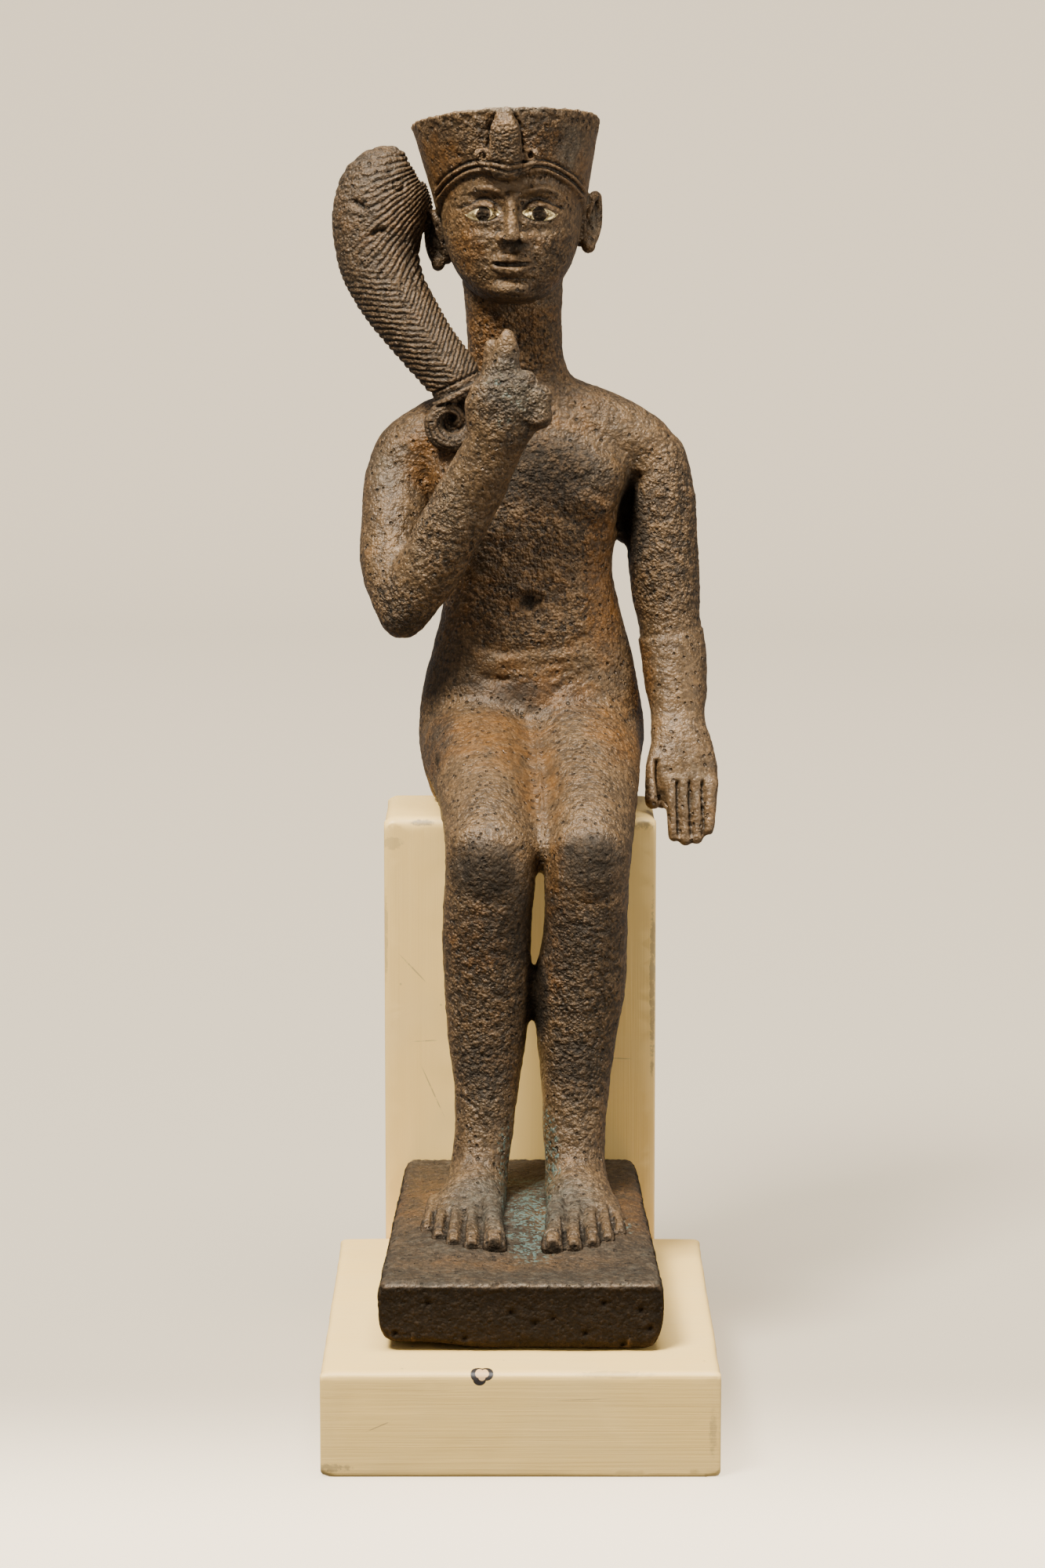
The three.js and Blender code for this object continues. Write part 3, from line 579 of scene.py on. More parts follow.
trunk = {
    "torso": [
        [2.7, 142, 124.6, 23.6, 14], [2.7, 142, 133, 26.2, 16.4], [2.7, 142, 142, 27, 16.6],
        [2.6, 142.6, 152, 25.7, 15.2], [2.8, 142.2, 162, 23.4, 13.9], [2.6, 141.8, 171.5, 20.9, 13],
        [2.4, 142.2, 182, 19.6, 12.8], [2, 143, 194, 22.6, 13.8], [1.8, 143.8, 204, 24.8, 13.8],
        [1.5, 145.4, 213, 22.6, 11.6], [0, 147, 222, 14.6, 9.8], [-0.9, 147, 228.5, 11.7, 10],
        [-1.4, 146.4, 237, 11.3, 10.6], [-1.8, 145, 250, 12, 12],
    ],
    "shoulders": [
        [-30, 146, 206.4, 8.4, 7.2], [-25, 146.2, 208.2, 9.4, 8.8], [-16, 146.6, 211.6, 10.2, 10],
        [-7, 147, 213.4, 10.6, 11.8], [5, 147, 213.6, 10.6, 12.8], [14, 146.8, 213, 10.4, 11.4],
        [23, 146.4, 211.2, 9.6, 9.3], [30, 146, 208.8, 8.6, 7.8],
    ],
    "armpit": [[24.6, 146.4, 187.4, 1.6, 3.4], [24.8, 146.6, 193, 2.2, 4.6], [24.6, 146.8, 203, 3.2, 6.2]],
    "swellings": [
        [-9.2, 137, 202, 12.2, 6.6, 8.8], [12.8, 137, 202, 12.2, 6.6, 8.8],
        [2.4, 135.4, 167.5, 13, 6.8, 12.5], [2.6, 130.6, 150.6, 4.6, 4, 3.8],
    ],
}
arms = {
    "hanging": [
        [32, 146, 207, 7.8, 8.4], [33, 146, 200.5, 8.3, 9.2], [33.7, 146, 193.6, 8.6, 9.4],
        [34.1, 145.4, 185, 8.5, 9.2], [34.9, 144.4, 175, 8.4, 8.8], [36, 142.6, 165, 7.9, 8.2],
        [36.9, 139.6, 156.6, 7.8, 7.6], [37.4, 136.6, 150, 7.3, 6.9], [37.4, 133.6, 144.4, 6.5, 5.9],
    ],
    "hangingHand": [
        [37.5, 134, 145.4, 6.4, 5.8], [38, 130.6, 140.4, 7.2, 5], [38.5, 127.6, 135.2, 8.2, 4.3],
        [38.9, 125.2, 130.4, 8.2, 2.9],
    ],
    "fingerRoot": [35.9, 124.2, 132], "fingerStep": 3.15, "tipStep": 2.7, "fingerTip": [36.3, 120],
    "tipZ": [118.7, 117.7, 118, 120.2], "fingerHalf": [1.72, 2.1],
    "hangingThumb": [
        [33.6, 128.6, 139, 2.6, 2.6], [31.9, 125.2, 133.6, 2.4, 2.5], [31.3, 121.6, 126.4, 1.9, 2],
    ],
    "thumbWeb": [[34.4, 127.4, 135, 2, 2.2], [33.7, 125, 130, 1.7, 1.9], [33.5, 123.4, 126, 1.3, 1.6]],
    "raisedUpper": [
        [-27.6, 146, 205.6, 8.2, 8.6], [-29.2, 143.6, 199, 8.4, 8.8], [-29.8, 139, 190.6, 8.1, 8.7],
        [-29.9, 134.2, 182, 7.9, 8.3], [-28.6, 130, 175, 7.1, 7.6], [-27.8, 127.6, 170, 5.8, 6.2],
    ],
    "raisedFore": [
        [-27.4, 127.4, 171.4, 6.4, 6.8], [-22.2, 124.4, 180.4, 7.6, 7.5], [-14, 119.5, 195.3, 7.8, 7.2],
        [-8.4, 115.4, 206.4, 7.3, 6.6], [-5.2, 113, 213.4, 7.1, 6],
    ],
    "raisedPalm": [
        [-5.4, 113, 212.4, 7, 5.8], [-4.4, 111.6, 217.2, 8.5, 5.6], [-3.8, 110.6, 222.4, 9.2, 5.2],
        [-4.6, 110.2, 226.6, 7.2, 4.4],
    ],
    "raisedIndex": [
        [-4.4, 110.2, 225, 5.2, 3.8], [-3.6, 109.8, 230.2, 3.7, 3.2], [-3, 109.3, 234.6, 2.7, 2.7],
        [-2.9, 109, 237.6, 1.6, 1.7],
    ],
    "raisedThumb": [[-6.2, 112.6, 226, 3, 2.8], [-6.6, 112, 231.4, 2.2, 2.2], [-6.5, 111.4, 235, 1.8, 1.8]],
    "knuckles": [[1.2, 226, 3.1], [4.1, 222.8, 3.4], [4.6, 218.6, 3.1]], "knuckleY": [114.4, 110.5, 108],
}
legs = {
    "thighs": [
        [
            [-8.8, 141, 139.6, 15, 13.6], [-8.8, 128, 137.2, 14.2, 12], [-8.1, 115, 133.6, 12.6, 10.2],
            [-7.3, 101, 127.8, 11, 10], [-6.9, 88, 122.6, 10.4, 10],
        ],
        [
            [14.4, 141, 139.6, 15, 13.6], [14.6, 128, 137.2, 14, 12], [15.3, 115, 133.6, 12.8, 10.2],
            [15.8, 101, 127.8, 11, 10], [16, 88, 122.6, 9.9, 10],
        ],
    ],
    "shins": [
        [
            [-6.9, 84.6, 123.4, 10.2, 10.2], [-6.9, 84.4, 113.8, 10.4, 10.4], [-7.7, 86.2, 102, 10.1, 10.4],
            [-7.4, 87.6, 90, 10.1, 10.2], [-7.6, 88, 76, 8.9, 9.2], [-7.8, 86, 65, 7.3, 7.9],
            [-8.5, 83.6, 55, 6.8, 7.3], [-9.8, 81, 45, 7, 8.6], [-10.2, 80.4, 38, 7.4, 10.2],
        ],
        [
            [16.1, 84.6, 122.8, 9.6, 10.2], [15.2, 84.4, 113.8, 9.7, 10.4], [14.9, 86.2, 102, 9.6, 10.4],
            [13.7, 87.6, 90, 10.7, 10.2], [12.9, 88, 76, 9, 9.2], [12.7, 86, 65, 7.8, 7.9],
            [12.4, 83.6, 55, 7.1, 7.3], [12.8, 81, 45, 7.2, 8.6], [13.1, 80.4, 38, 7.8, 10.2],
        ],
    ],
    "web": [[4, 130, 140.6, 5, 6], [4.1, 104, 128.6, 4.6, 6], [4.4, 86, 120, 3.4, 4.6]],
    "calfBridge": [[2.8, 90, 82.8, 2.6, 3], [2.8, 89, 87, 3.2, 4.2], [3, 89, 92, 2.6, 3.2]],
    "feet": [
        [
            [-9.9, 88, 43, 6.8, 6.4], [-10.4, 76, 43.4, 7.4, 7.4], [-11.8, 66, 41.8, 8.2, 5.4],
            [-12.9, 59.5, 41, 8.8, 3.8],
        ],
        [
            [12.9, 88, 43, 7, 6.4], [13.2, 76, 43.4, 7.6, 7.4], [14.2, 66, 41.8, 8.2, 5.4],
            [14.9, 59.5, 41, 8.8, 3.8],
        ],
    ],
    # toes from the big one out: [x, y of the tip, half width]
    "toes": [
        [
            [-5.7, 37.4, 2.7], [-10.7, 38.6, 1.95], [-14.7, 40.8, 1.85], [-18.1, 45.2, 1.7],
            [-20.8, 51.4, 1.45],
        ],
        [[7.2, 37, 2.5], [11.8, 37.6, 2], [15.9, 40, 1.85], [19.3, 43.4, 1.65], [22.1, 48.4, 1.45]],
    ],
    "toeLength": 21, "toeRise": 1.7,
}
plate = {
    "front": 16, "back": 114.6, "frontHalf": 31, "backHalf": 27.2, "centreX": 0.1, "bottom": 23.3,
    "frontTop": 38.2, "backTop": 42.6,
}


def plateTop(y):
    return plate["frontTop"] + (y - plate["front"]) * (plate["backTop"] - plate["frontTop"]) / (
        plate["back"] - plate["front"])


def makeToes(toes, foot):
    ballX, ballY = foot[-1][:2]
    parts = []
    for x, tipY, half in toes:
        back = max(tipY + legs["toeLength"], ballY + 3)
        rootX = x + (ballX - x) * 0.14
        parts.append(limb([
            [rootX, back, plateTop(back) + legs["toeRise"] * 0.9, half, half * 1.9],
            [x + (rootX - x) * 0.6, tipY + 14.5, plateTop(tipY) + 1.9, half * 0.95, half * 1.7],
            [x + (rootX - x) * 0.4, tipY + 9.4, plateTop(tipY) + 1.5, half * 0.92, half * 1.5],
            [x, tipY + 5.0, plateTop(tipY) + 0.9, half * 1.04, half * 1.4],
            [x, tipY + 1.5, plateTop(tipY) + 0.5, half, half * 1.2],
        ], sides=20, steps=4, domes=(0, 1.5), power=2.3))
    return parts


def makeFingers():
    parts = []
    a, b = arms["fingerHalf"]
    rootX, rootY, rootZ = arms["fingerRoot"]
    for i, tipZ in enumerate(arms["tipZ"]):
        root = [rootX + i * arms["fingerStep"], rootY, rootZ]
        tip = [arms["fingerTip"][0] + i * arms["tipStep"], arms["fingerTip"][1], tipZ]
        middle = [(p + q) / 2 for p, q in zip(root, tip)]
        parts.append(limb([root + [a, b], middle + [a * 0.97, b * 0.9], tip + [a * 0.86, b * 0.74]],
                          sides=20, domes=(0, 1.3), power=2.3))
    return parts


def makeBodyParts():
    parts = [
        limb(trunk["torso"], sides=64, upright=True, power=2.25),
        limb(trunk["shoulders"], sides=48, hint=(0, 1, 0), domes=(4, 6.4)),
        limb(trunk["armpit"], sides=16, upright=True, domes=(2, 0)),
    ]
    for row in trunk["swellings"]:
        parts.append(ball(*row[:3], row[3:]))
    parts += [
        limb(arms["hanging"], sides=40, domes=(5.2, 1)),
        limb(arms["hangingHand"], domes=(1, 1.4), power=2.4),
        limb(arms["hangingThumb"], sides=20, domes=(0, 1.5)),
        limb(arms["thumbWeb"], sides=20, domes=(0, 1.2)),
        limb(arms["raisedUpper"], sides=40, domes=(5.2, 5.6)),
        limb(arms["raisedFore"], sides=40, domes=(5.6, 2), hint=(1, 0, 0.6)),
        limb(arms["raisedPalm"], domes=(1, 2.2)),
        limb(arms["raisedIndex"], sides=24, domes=(0, 1.2)),
        limb(arms["raisedThumb"], sides=20, domes=(0, 1.2)),
    ]
    back, middle, front = arms["knuckleY"]
    for x, z, radius in arms["knuckles"]:
        parts.append(limb([
            [x - 2.4, back, z - 1.6, radius * 0.8, radius * 0.8], [x - 0.5, middle, z - 0.3, radius, radius],
            [x, front, z, radius, radius],
        ], sides=20, domes=(0, 2)))
    parts += makeFingers()
    for thigh, shin, foot, toes in zip(legs["thighs"], legs["shins"], legs["feet"], legs["toes"]):
        parts.append(limb(thigh, sides=40, domes=(0, 10.4)))
        parts.append(limb(shin, sides=40, upright=True, domes=(6.4, 0)))
        parts.append(limb(foot, domes=(5, 2.6)))
        parts += makeToes(toes, foot)
    parts.append(limb(legs["web"], sides=20, domes=(0, 2.4)))
    parts.append(limb(legs["calfBridge"], sides=20, upright=True, domes=(1.5, 1.5)))
    return parts


# places to smooth, as [x, y, z, half x, half y, half z]
bodySoft = {
    "hands": [[38.2, 124, 128, 13, 14, 17], [-2, 110, 225, 13, 12, 16]],
    "fingerRoots": [39.8, 124, 132, 9, 10, 4.5],
    "joints": [
        [31, 146, 205, 15, 16, 14], [-29, 146, 204, 14, 16, 15], [0, 146, 221, 24, 18, 9],
        [-8, 126, 146, 17, 20, 15], [14, 126, 146, 17, 20, 15], [-27.5, 128, 172, 11, 11, 10],
        [37, 134, 146, 10, 10, 8], [-6.5, 116, 211, 10, 10, 8], [-7, 84, 121, 13, 14, 12],
        [16, 84, 121, 13, 14, 12], [-10, 80, 47, 11, 14, 9], [13, 80, 47, 11, 14, 9],
        [3.4, 136, 164, 22, 12, 20], [2, 134, 200, 24, 10, 14], [-21, 146, 196, 9, 12, 12],
        [4, 96, 126, 7, 20, 10],
    ],
    "rounds": 110,
}
# a line is [height, width, fade at the ends, points of x and z]
bodyLines = {
    "trunk": [
        [-0.5, 2, 0.3, [[6, 194.6], [12, 192.6], [17, 190.8], [23, 190]]],
        [0.9, 2.4, 0.3, [[8, 199.6], [14, 197.8], [19.8, 195.6], [23.5, 198.6]]],
        [-0.8, 1.1, 0.12, [[21, 192], [23.6, 195.4], [26.4, 200.4], [28.6, 204.6]]],
        [-0.5, 1.5, 0.12, [[1, 196.4], [-5, 195.2], [-12, 193.4]]],
        [-0.4, 1.7, 0.12, [[1.4, 212], [1.8, 200], [2.1, 188], [2.2, 177]]],
        [-0.55, 1.6, 0.12, [[-11, 163.4], [-3, 161.6], [4, 161.6], [12, 163], [18, 165.4]]],
        [0.4, 1.5, 0.3, [[-10.6, 158.1], [-4, 159.4], [1.2, 160.4], [9.6, 160.9], [19, 161.4]]],
        [-0.35, 0.9, 0.3, [[-9, 156.6], [-3, 157.6], [4, 158.4], [12, 159.2], [18, 159.6]]],
        [-0.9, 0.75, 0.35, [[-7.6, 155.9], [-4, 154.9], [-0.6, 155.6]]],
        [-0.8, 0.75, 0.35, [[4.6, 155.2], [8.6, 156], [13.6, 158]]],
        [0.7, 0.9, 0.2, [[-2.6, 173.4], [-1, 176], [2, 176.6], [5, 175.4]]],
    ],
    "armpit": [[-1.6, 1.2, 0.1, [[28.2, 203.6], [26.8, 199], [25, 194], [23.8, 188]]]],
    "front": [
        [-0.55, 1.2, 0.3, [[-13, 157.6], [-7, 154.6], [-2.4, 152], [0.4, 147.6]]],
        [-0.55, 1.2, 0.3, [[20, 158.8], [14, 155.6], [9, 152.8], [5.4, 147.8]]],
    ],
    "collarbones": [
        [-0.3, 1, 0.12, [[-12, 219.4], [-6, 218], [-1, 216.4]]],
        [-0.3, 1, 0.12, [[18, 217.8], [9, 218.6], [2.4, 216.4]]],
    ],
    "thighRidge": [[0.9, 0.32, 0.12, [[3.3, 148], [4.2, 140], [5, 130], [5.6, 119]]]],
    "shins": [
        [0.4, 1.5, 0.12, [[-5.6, 110], [-6.6, 92], [-7.4, 74], [-8.4, 54]]],
        [0.4, 1.5, 0.12, [[15.2, 110], [14.4, 92], [13.2, 74], [12.6, 54]]],
    ],
    "rear": [
        [-1, 1.8, 0.12, [[0.4, 218], [1.6, 200], [2.4, 180], [2.7, 158]]],
        [-1.1, 1, 0.2, [[2.7, 150], [2.7, 138], [2.7, 128]]],
    ],
    "hand": [
        [-1.1, 0.4, 0.05, [[37, 132], [37.25, 125.6], [37.5, 118.6]]],
        [-1.1, 0.4, 0.05, [[39.9, 132], [40.1, 125.6], [40.3, 118.6]]],
        [-1.1, 0.4, 0.05, [[43, 132], [43.05, 125.6], [43.1, 118.6]]],
        [-2.4, 0.62, 0.08, [[32, 137], [32.8, 131], [34, 124], [34.6, 121]]],
    ],
    # about the middle of a knee
    "knee": [
        [-0.4, 1.1, 0.2, [[-7, 116], [-4.6, 124.4], [0, 127.2], [4.6, 124.4], [7, 116]]],
        [-0.35, 1.2, 0.25, [[-4.5, 112], [0, 110.6], [4.5, 112]]],
    ],
}
bodyForms = {
    "navel": [2.2, 173.2, 2.9, 1.9, 1.7], "belly": [2.3, 130, 168, 11, 8, 6], "bellySwell": 0.35,
    "kneeX": (-7.4, 16.6), "kneeSwell": 0.55, "bladeX": (-11, 14), "bladeSwell": 0.8, "sleeve": 0.55,
    # depth of the grooves between toes, of the nails' rims and of the folds behind them
    "toeGroove": 0.9, "nailRim": 0.42, "toeFold": 0.16,
}


def softenBody(obj):
    p = getPoints(obj)
    hands = np.maximum(*(blob(p, row) for row in bodySoft["hands"]))
    toes = smoothStep(52, 48, p[:, 2]) * smoothStep(72, 62, p[:, 1])
    fine = np.maximum(hands, toes)
    relax(obj, 1 - 0.94 * fine, 26)
    relax(obj, 0.9 * blob(p, bodySoft["fingerRoots"]), 24)
    joints = np.max([blob(p, row) for row in bodySoft["joints"]], axis=0)
    relax(obj, joints * (1 - fine), bodySoft["rounds"])


def nailShape(p, x, tipY, half):
    # 1 on the rim of a toe's nail, less within it
    return np.maximum(np.abs(p[:, 0] - x) / (half * 0.66), np.abs(p[:, 1] - tipY - 1.9) / (half * 1.05))


def carveBody(obj):
    p, n = getSurface(obj)
    forms = bodyForms
    front = smoothStep(-0.15, -0.6, n[:, 1])
    places = {
        "front": front,
        "trunk": front * smoothStep(120, 124, p[:, 1]) * smoothStep(140, 137, p[:, 1]),
        "armpit": smoothStep(0.1, -0.4, n[:, 1]) * smoothStep(152, 146, p[:, 1]),
        "collarbones": front * smoothStep(126, 130, p[:, 1]),
        "thighRidge": smoothStep(-0.2, 0.4, n[:, 2] - 0.5 * n[:, 1]) * smoothStep(130, 124, p[:, 1]),
        "knee": front * smoothStep(80, 76, p[:, 1]),
        "shins": front * smoothStep(112, 104, p[:, 2]) * smoothStep(50, 58, p[:, 2]),
        "rear": smoothStep(0.2, 0.7, n[:, 1]) * smoothStep(150, 154, p[:, 1]),
        "hand": front * smoothStep(30, 32, p[:, 0]) * smoothStep(134, 130, p[:, 1]),
    }
    lift = sum(carve(p, places[name], rows) for name, rows in bodyLines.items() if name != "knee")
    lift += forms["bellySwell"] * places["trunk"] * blob(p, forms["belly"])
    x, z, wide, tall, deep = forms["navel"]
    hole = np.hypot((p[:, 0] - x) / wide, (p[:, 2] - z - 0.15 * (p[:, 0] - x)) / tall)
    lift -= deep * places["trunk"] * np.exp(-hole ** 3)
    for x in forms["kneeX"]:
        lift += forms["kneeSwell"] * places["knee"] * blob(p, (x, 74, 118.6, 6.2, 8, 6))
        lift += carve(p - np.array([x, 0, 0]), places["knee"], bodyLines["knee"])
    for x in forms["bladeX"]:
        lift += forms["bladeSwell"] * places["rear"] * blob(p, (x, 158, 201, 8, 8, 10))
    # the smooth lower arm stands a little proud of the pitted upper part
    offStep = p[:, 2] - 164.4 - 0.16 * (p[:, 0] - 36)
    armStep = smoothStep(26.5, 28, p[:, 0]) * smoothStep(-0.4, 0.4, offStep)
    lift -= forms["sleeve"] * armStep * smoothStep(16, 2, offStep)
    setPoints(obj, p + n * lift[:, None])
    p, n = getSurface(obj)
    lift = np.zeros(len(p))
    upper = smoothStep(0.25, 0.7, n[:, 2] - 0.4 * n[:, 1])
    for toes in legs["toes"]:
        for (x, tipY, half), (nextX, nextY, nextHalf) in zip(toes[:-1], toes[1:]):
            gapX, gapY = x + (nextX - x) * half / (half + nextHalf), max(tipY, nextY)
            path = [[gapX, gapY - 1], [gapX, gapY + 6], [gapX * 0.96, gapY + 14]]
            level = smoothStep(plateTop(gapY) + 10, plateTop(gapY) + 8, p[:, 2])
            level *= smoothStep(0.1, 0.5, n[:, 2])
            lift -= forms["toeGroove"] * level * stroke(p, path, 0.42, 0.2, 6, (0, 1))
        for x, tipY, half in toes:
            rim = np.exp(-((nailShape(p, x, tipY, half) - 1) / 0.16) ** 2)
            lift -= forms["nailRim"] * upper * rim * (p[:, 2] < plateTop(tipY) + 6)
            fold = np.exp(-((p[:, 1] - tipY - 6.6) / 0.6) ** 2 - ((p[:, 0] - x) / half) ** 4)
            lift -= forms["toeFold"] * upper * fold * (p[:, 2] < plateTop(tipY) + 7)
    setPoints(obj, p + n * lift[:, None])


# surface values in soft ellipsoids: [x, y, z, half x, half y, half z, value], later ones over earlier ones
bodySurface = {
    "rough": [
        [4, 130, 196, 26, 16, 24, 1], [2, 130, 172, 22, 12, 16, 0.85], [36, 142, 186, 14, 14, 30, 0.95],
        [-16, 120, 192, 14, 14, 26, 0.85], [-26, 126, 174, 12, 12, 12, 0.95],
        [-2, 110, 222, 13, 12, 14, 0.9], [-8, 80, 88, 14, 16, 42, 0.85], [15, 80, 88, 14, 16, 42, 0.85],
    ],
    "smooth": [
        [-28, 144, 206, 14, 12, 14, 0.45], [-32, 140, 190, 8, 12, 20, 0.4], [14, 142, 218, 18, 14, 9, 0.45],
        [2, 132, 154, 22, 16, 9, 0.35], [38, 134, 152, 12, 14, 12.5, 0.3], [38, 124, 128, 13, 12, 17, 0.25],
        [-6, 112, 138, 13, 24, 18, 0.22], [5, 104, 132, 6, 24, 12, 0.2], [1, 140, 234, 14, 14, 10, 0.85],
        [1, 70, 48, 30, 24, 12, 0.45], [20, 108, 136, 10, 22, 16, 0.45],
    ],
    # painted light: the dark tone is taken off the belly, the neck, both arms and both hands where they lie
    # in shade; the thighs' middle and the shins get more dark
    "darkLevel": [
        [3, 130, 170, 22, 12, 16, 0.02], [36, 142, 186, 12, 14, 28, 0.05], [-18, 118, 194, 13, 12, 26, 0],
        [-2, 110, 224, 14, 12, 14, 0], [-2, 134, 236, 13, 10, 12, 0], [38, 130, 138, 12, 14, 22, 0.08],
        [4, 106, 132, 26, 26, 14, 0.34], [-4, 126, 187, 20, 16, 18, 0], [-8, 78, 88, 12, 14, 26, 0.4],
        [14, 78, 88, 12, 14, 26, 0.42],
    ],
    "warm": [
        [20, 134, 178, 8, 10, 26, 0.9], [-4, 116, 140, 16, 20, 14, 0.7], [5, 106, 132, 11, 28, 16, 0.6],
        [-8, 140, 236, 8, 10, 12, 0.8], [6, 138, 236, 12, 12, 12, 0.55], [4, 122, 153, 28, 12, 7, 0.85],
        [-10, 78, 101, 9, 12, 16, 0.6], [-18, 120, 141, 7, 18, 12, 0.7], [-20, 138, 206, 9, 10, 12, 0.8],
        [22, 122, 138, 10, 22, 16, 0.8], [3, 130, 170, 24, 14, 20, 0.45], [2, 128, 192, 26, 16, 16, 0.42],
        [0, 124, 210, 34, 18, 14, 0.32], [-14, 134, 178, 8, 10, 20, 0.5], [3, 128, 156, 20, 8, 6, 0.6],
        [30, 140, 152, 6, 10, 14, 0.75], [7, 76, 104, 6, 12, 30, 0.65], [-4, 76, 76, 8, 12, 18, 0.4],
        [-16, 128, 196, 10, 8, 14, 0.4], [8, 136, 188, 10, 8, 10, 0.35], [12, 136, 218, 14, 12, 8, 0.35],
        [-12, 118, 198, 6, 9, 18, 0.35], [26, 144, 176, 4, 8, 20, 0.5],
    ],
    # the patina's own dark, and painted shade: under the knees, in the groin below the belly, in the armpit,
    # in the navel, where the calves meet and under the pectoral
    "dark": [
        [4, 78, 103, 28, 16, 17, 0.62], [-27, 122, 168, 8, 8, 6, 0.6], [4, 132, 204, 24, 12, 12, 0.72],
        [-12, 50, 44, 13, 16, 8, 0.5], [13, 50, 44, 13, 16, 8, 0.5], [-7.4, 72, 117, 16, 12, 10, 0.76],
        [16, 71, 116, 13, 12, 9, 0.72], [4, 121, 152, 28, 12, 8, 0.62], [0, 123, 152, 15, 12, 6, 0.72],
        [-12, 124, 154, 9, 12, 6, 0.64], [-19, 120, 141, 6, 18, 12, 0.6], [15, 74, 121.5, 12, 11, 8, 0.78],
        [-8, 78, 72, 9, 14, 12, 0.66], [13, 78, 72, 9, 14, 12, 0.66], [-2, 108, 225, 9, 9, 12, 0.55],
        [-33, 140, 196, 8, 12, 26, 0.4], [-9, 74, 120, 13, 11, 8, 0.76],
        [-19.3, 118, 137.6, 1, 14, 3.2, 0.95], [14, 122, 213, 13, 14, 13, 0.55],
        [0, 56, 46, 26, 22, 9, 0.68], [-13, 130, 186, 9, 8, 12, 0.4], [-20, 138, 158, 10, 16, 18, 0.35],
        [14, 120, 210, 22, 14, 14, 0.46], [4, 84, 88, 4, 16, 14, 0.9], [28, 144, 190, 5, 14, 14, 0.8],
        [-9, 76, 100, 9, 10, 12, 0.35], [0, 108, 213, 7, 8, 5, 0.5], [20, 132, 193, 5, 6, 3, 0.35],
        [5.5, 112, 218, 4, 9, 5, 0.5], [37, 120, 118, 10, 7, 6, 0.3], [2.6, 130, 148, 5, 7, 3, 0.8],
        [26, 142, 194, 4, 9, 12, 1], [1.9, 128, 173.2, 3, 6, 2.4, 0.8], [-2, 132, 227, 12, 8, 3, 0.35],
    ],
    # the patina's grey haze, as on the feet, and painted highlights and sheen: on the knee tops, on the lower
    # shins, along the raised forearm and on the raised arm's shoulder
    "pale": [
        [-31, 142, 200, 8, 12, 14, 0.6], [-3, 108, 226, 9, 8, 12, 0.6], [3, 108, 222, 7, 8, 7, 0.6],
        [-14, 114, 194, 10, 10, 20, 0.5], [40, 124, 130, 8, 8, 12, 0.45], [0, 58, 46, 28, 30, 9, 0.65],
        [-22, 120, 186, 9, 9, 14, 0.45], [20, 132, 201, 7, 7, 6, 0.35], [-8, 88, 127, 7, 8, 4, 0.6],
        [17, 88, 127, 6, 8, 4, 0.5], [14, 104, 134, 9, 16, 8, 0.35], [24, 142, 212, 8, 12, 7, 0.4],
        [-9, 76, 60, 8, 12, 12, 0.4], [14, 76, 60, 8, 12, 12, 0.4], [18, 78, 88, 8, 10, 20, 0.25],
        [40, 140, 158, 8, 12, 12, 0.25],
    ],
    "green": [
        [-2, 80, 50, 4, 16, 14, 0.62], [6, 80, 50, 4, 16, 14, 0.62], [2, 70, 42, 9, 34, 5, 0.75],
        [-4, 108, 222, 9, 8, 10, 0.22],
    ],
    # what the rest of the body has
    "start": {"rough": 0.42, "warm": 0.14, "dark": 0.24, "pale": 0.05, "green": 0.0},
}


def bodySkin(p):
    # where the metal is pitted: 1 is rough, 0 smooth
    rough = raiseTo(np.full(len(p), bodySurface["start"]["rough"]), p, bodySurface["rough"])
    return fadeTo(rough, p, bodySurface["smooth"])


def bodyTone(p, n):
    values = {name: np.full(len(p), start) for name, start in bodySurface["start"].items()}
    values["dark"] = fadeTo(values["dark"], p, bodySurface["darkLevel"])
    warm, dark, pale, green = (raiseTo(values[name], p, bodySurface[name])
                               for name in ("warm", "dark", "pale", "green"))
    # toes: painted shade on their fronts, along their sides and in the grooves round the nails
    for x, tipY, half in legs["toes"][0] + legs["toes"][1]:
        across = np.abs(p[:, 0] - x)
        near = smoothStep(half * 1.3, half * 0.9, across) * (p[:, 2] < plateTop(tipY) + 7)
        shadedToeFront = near * smoothStep(tipY + 1.4, tipY + 0.2, p[:, 1])
        rim = near * np.exp(-((nailShape(p, x, tipY, half) - 1) / 0.2) ** 2)
        rim *= smoothStep(0.2, 0.6, n[:, 2] - 0.4 * n[:, 1])
        edge = near * np.exp(-((across - half) / 0.75) ** 2) * (p[:, 1] < tipY + 9)
        dark = np.max([dark, shadedToeFront, edge, 0.85 * rim], axis=0)
    return (warm * (0.55 + 0.45 * smoothStep(0.3, -0.4, n[:, 1])), dark, pale), green


bodyMesh = {"voxel": 0.45, "limit": 196000}


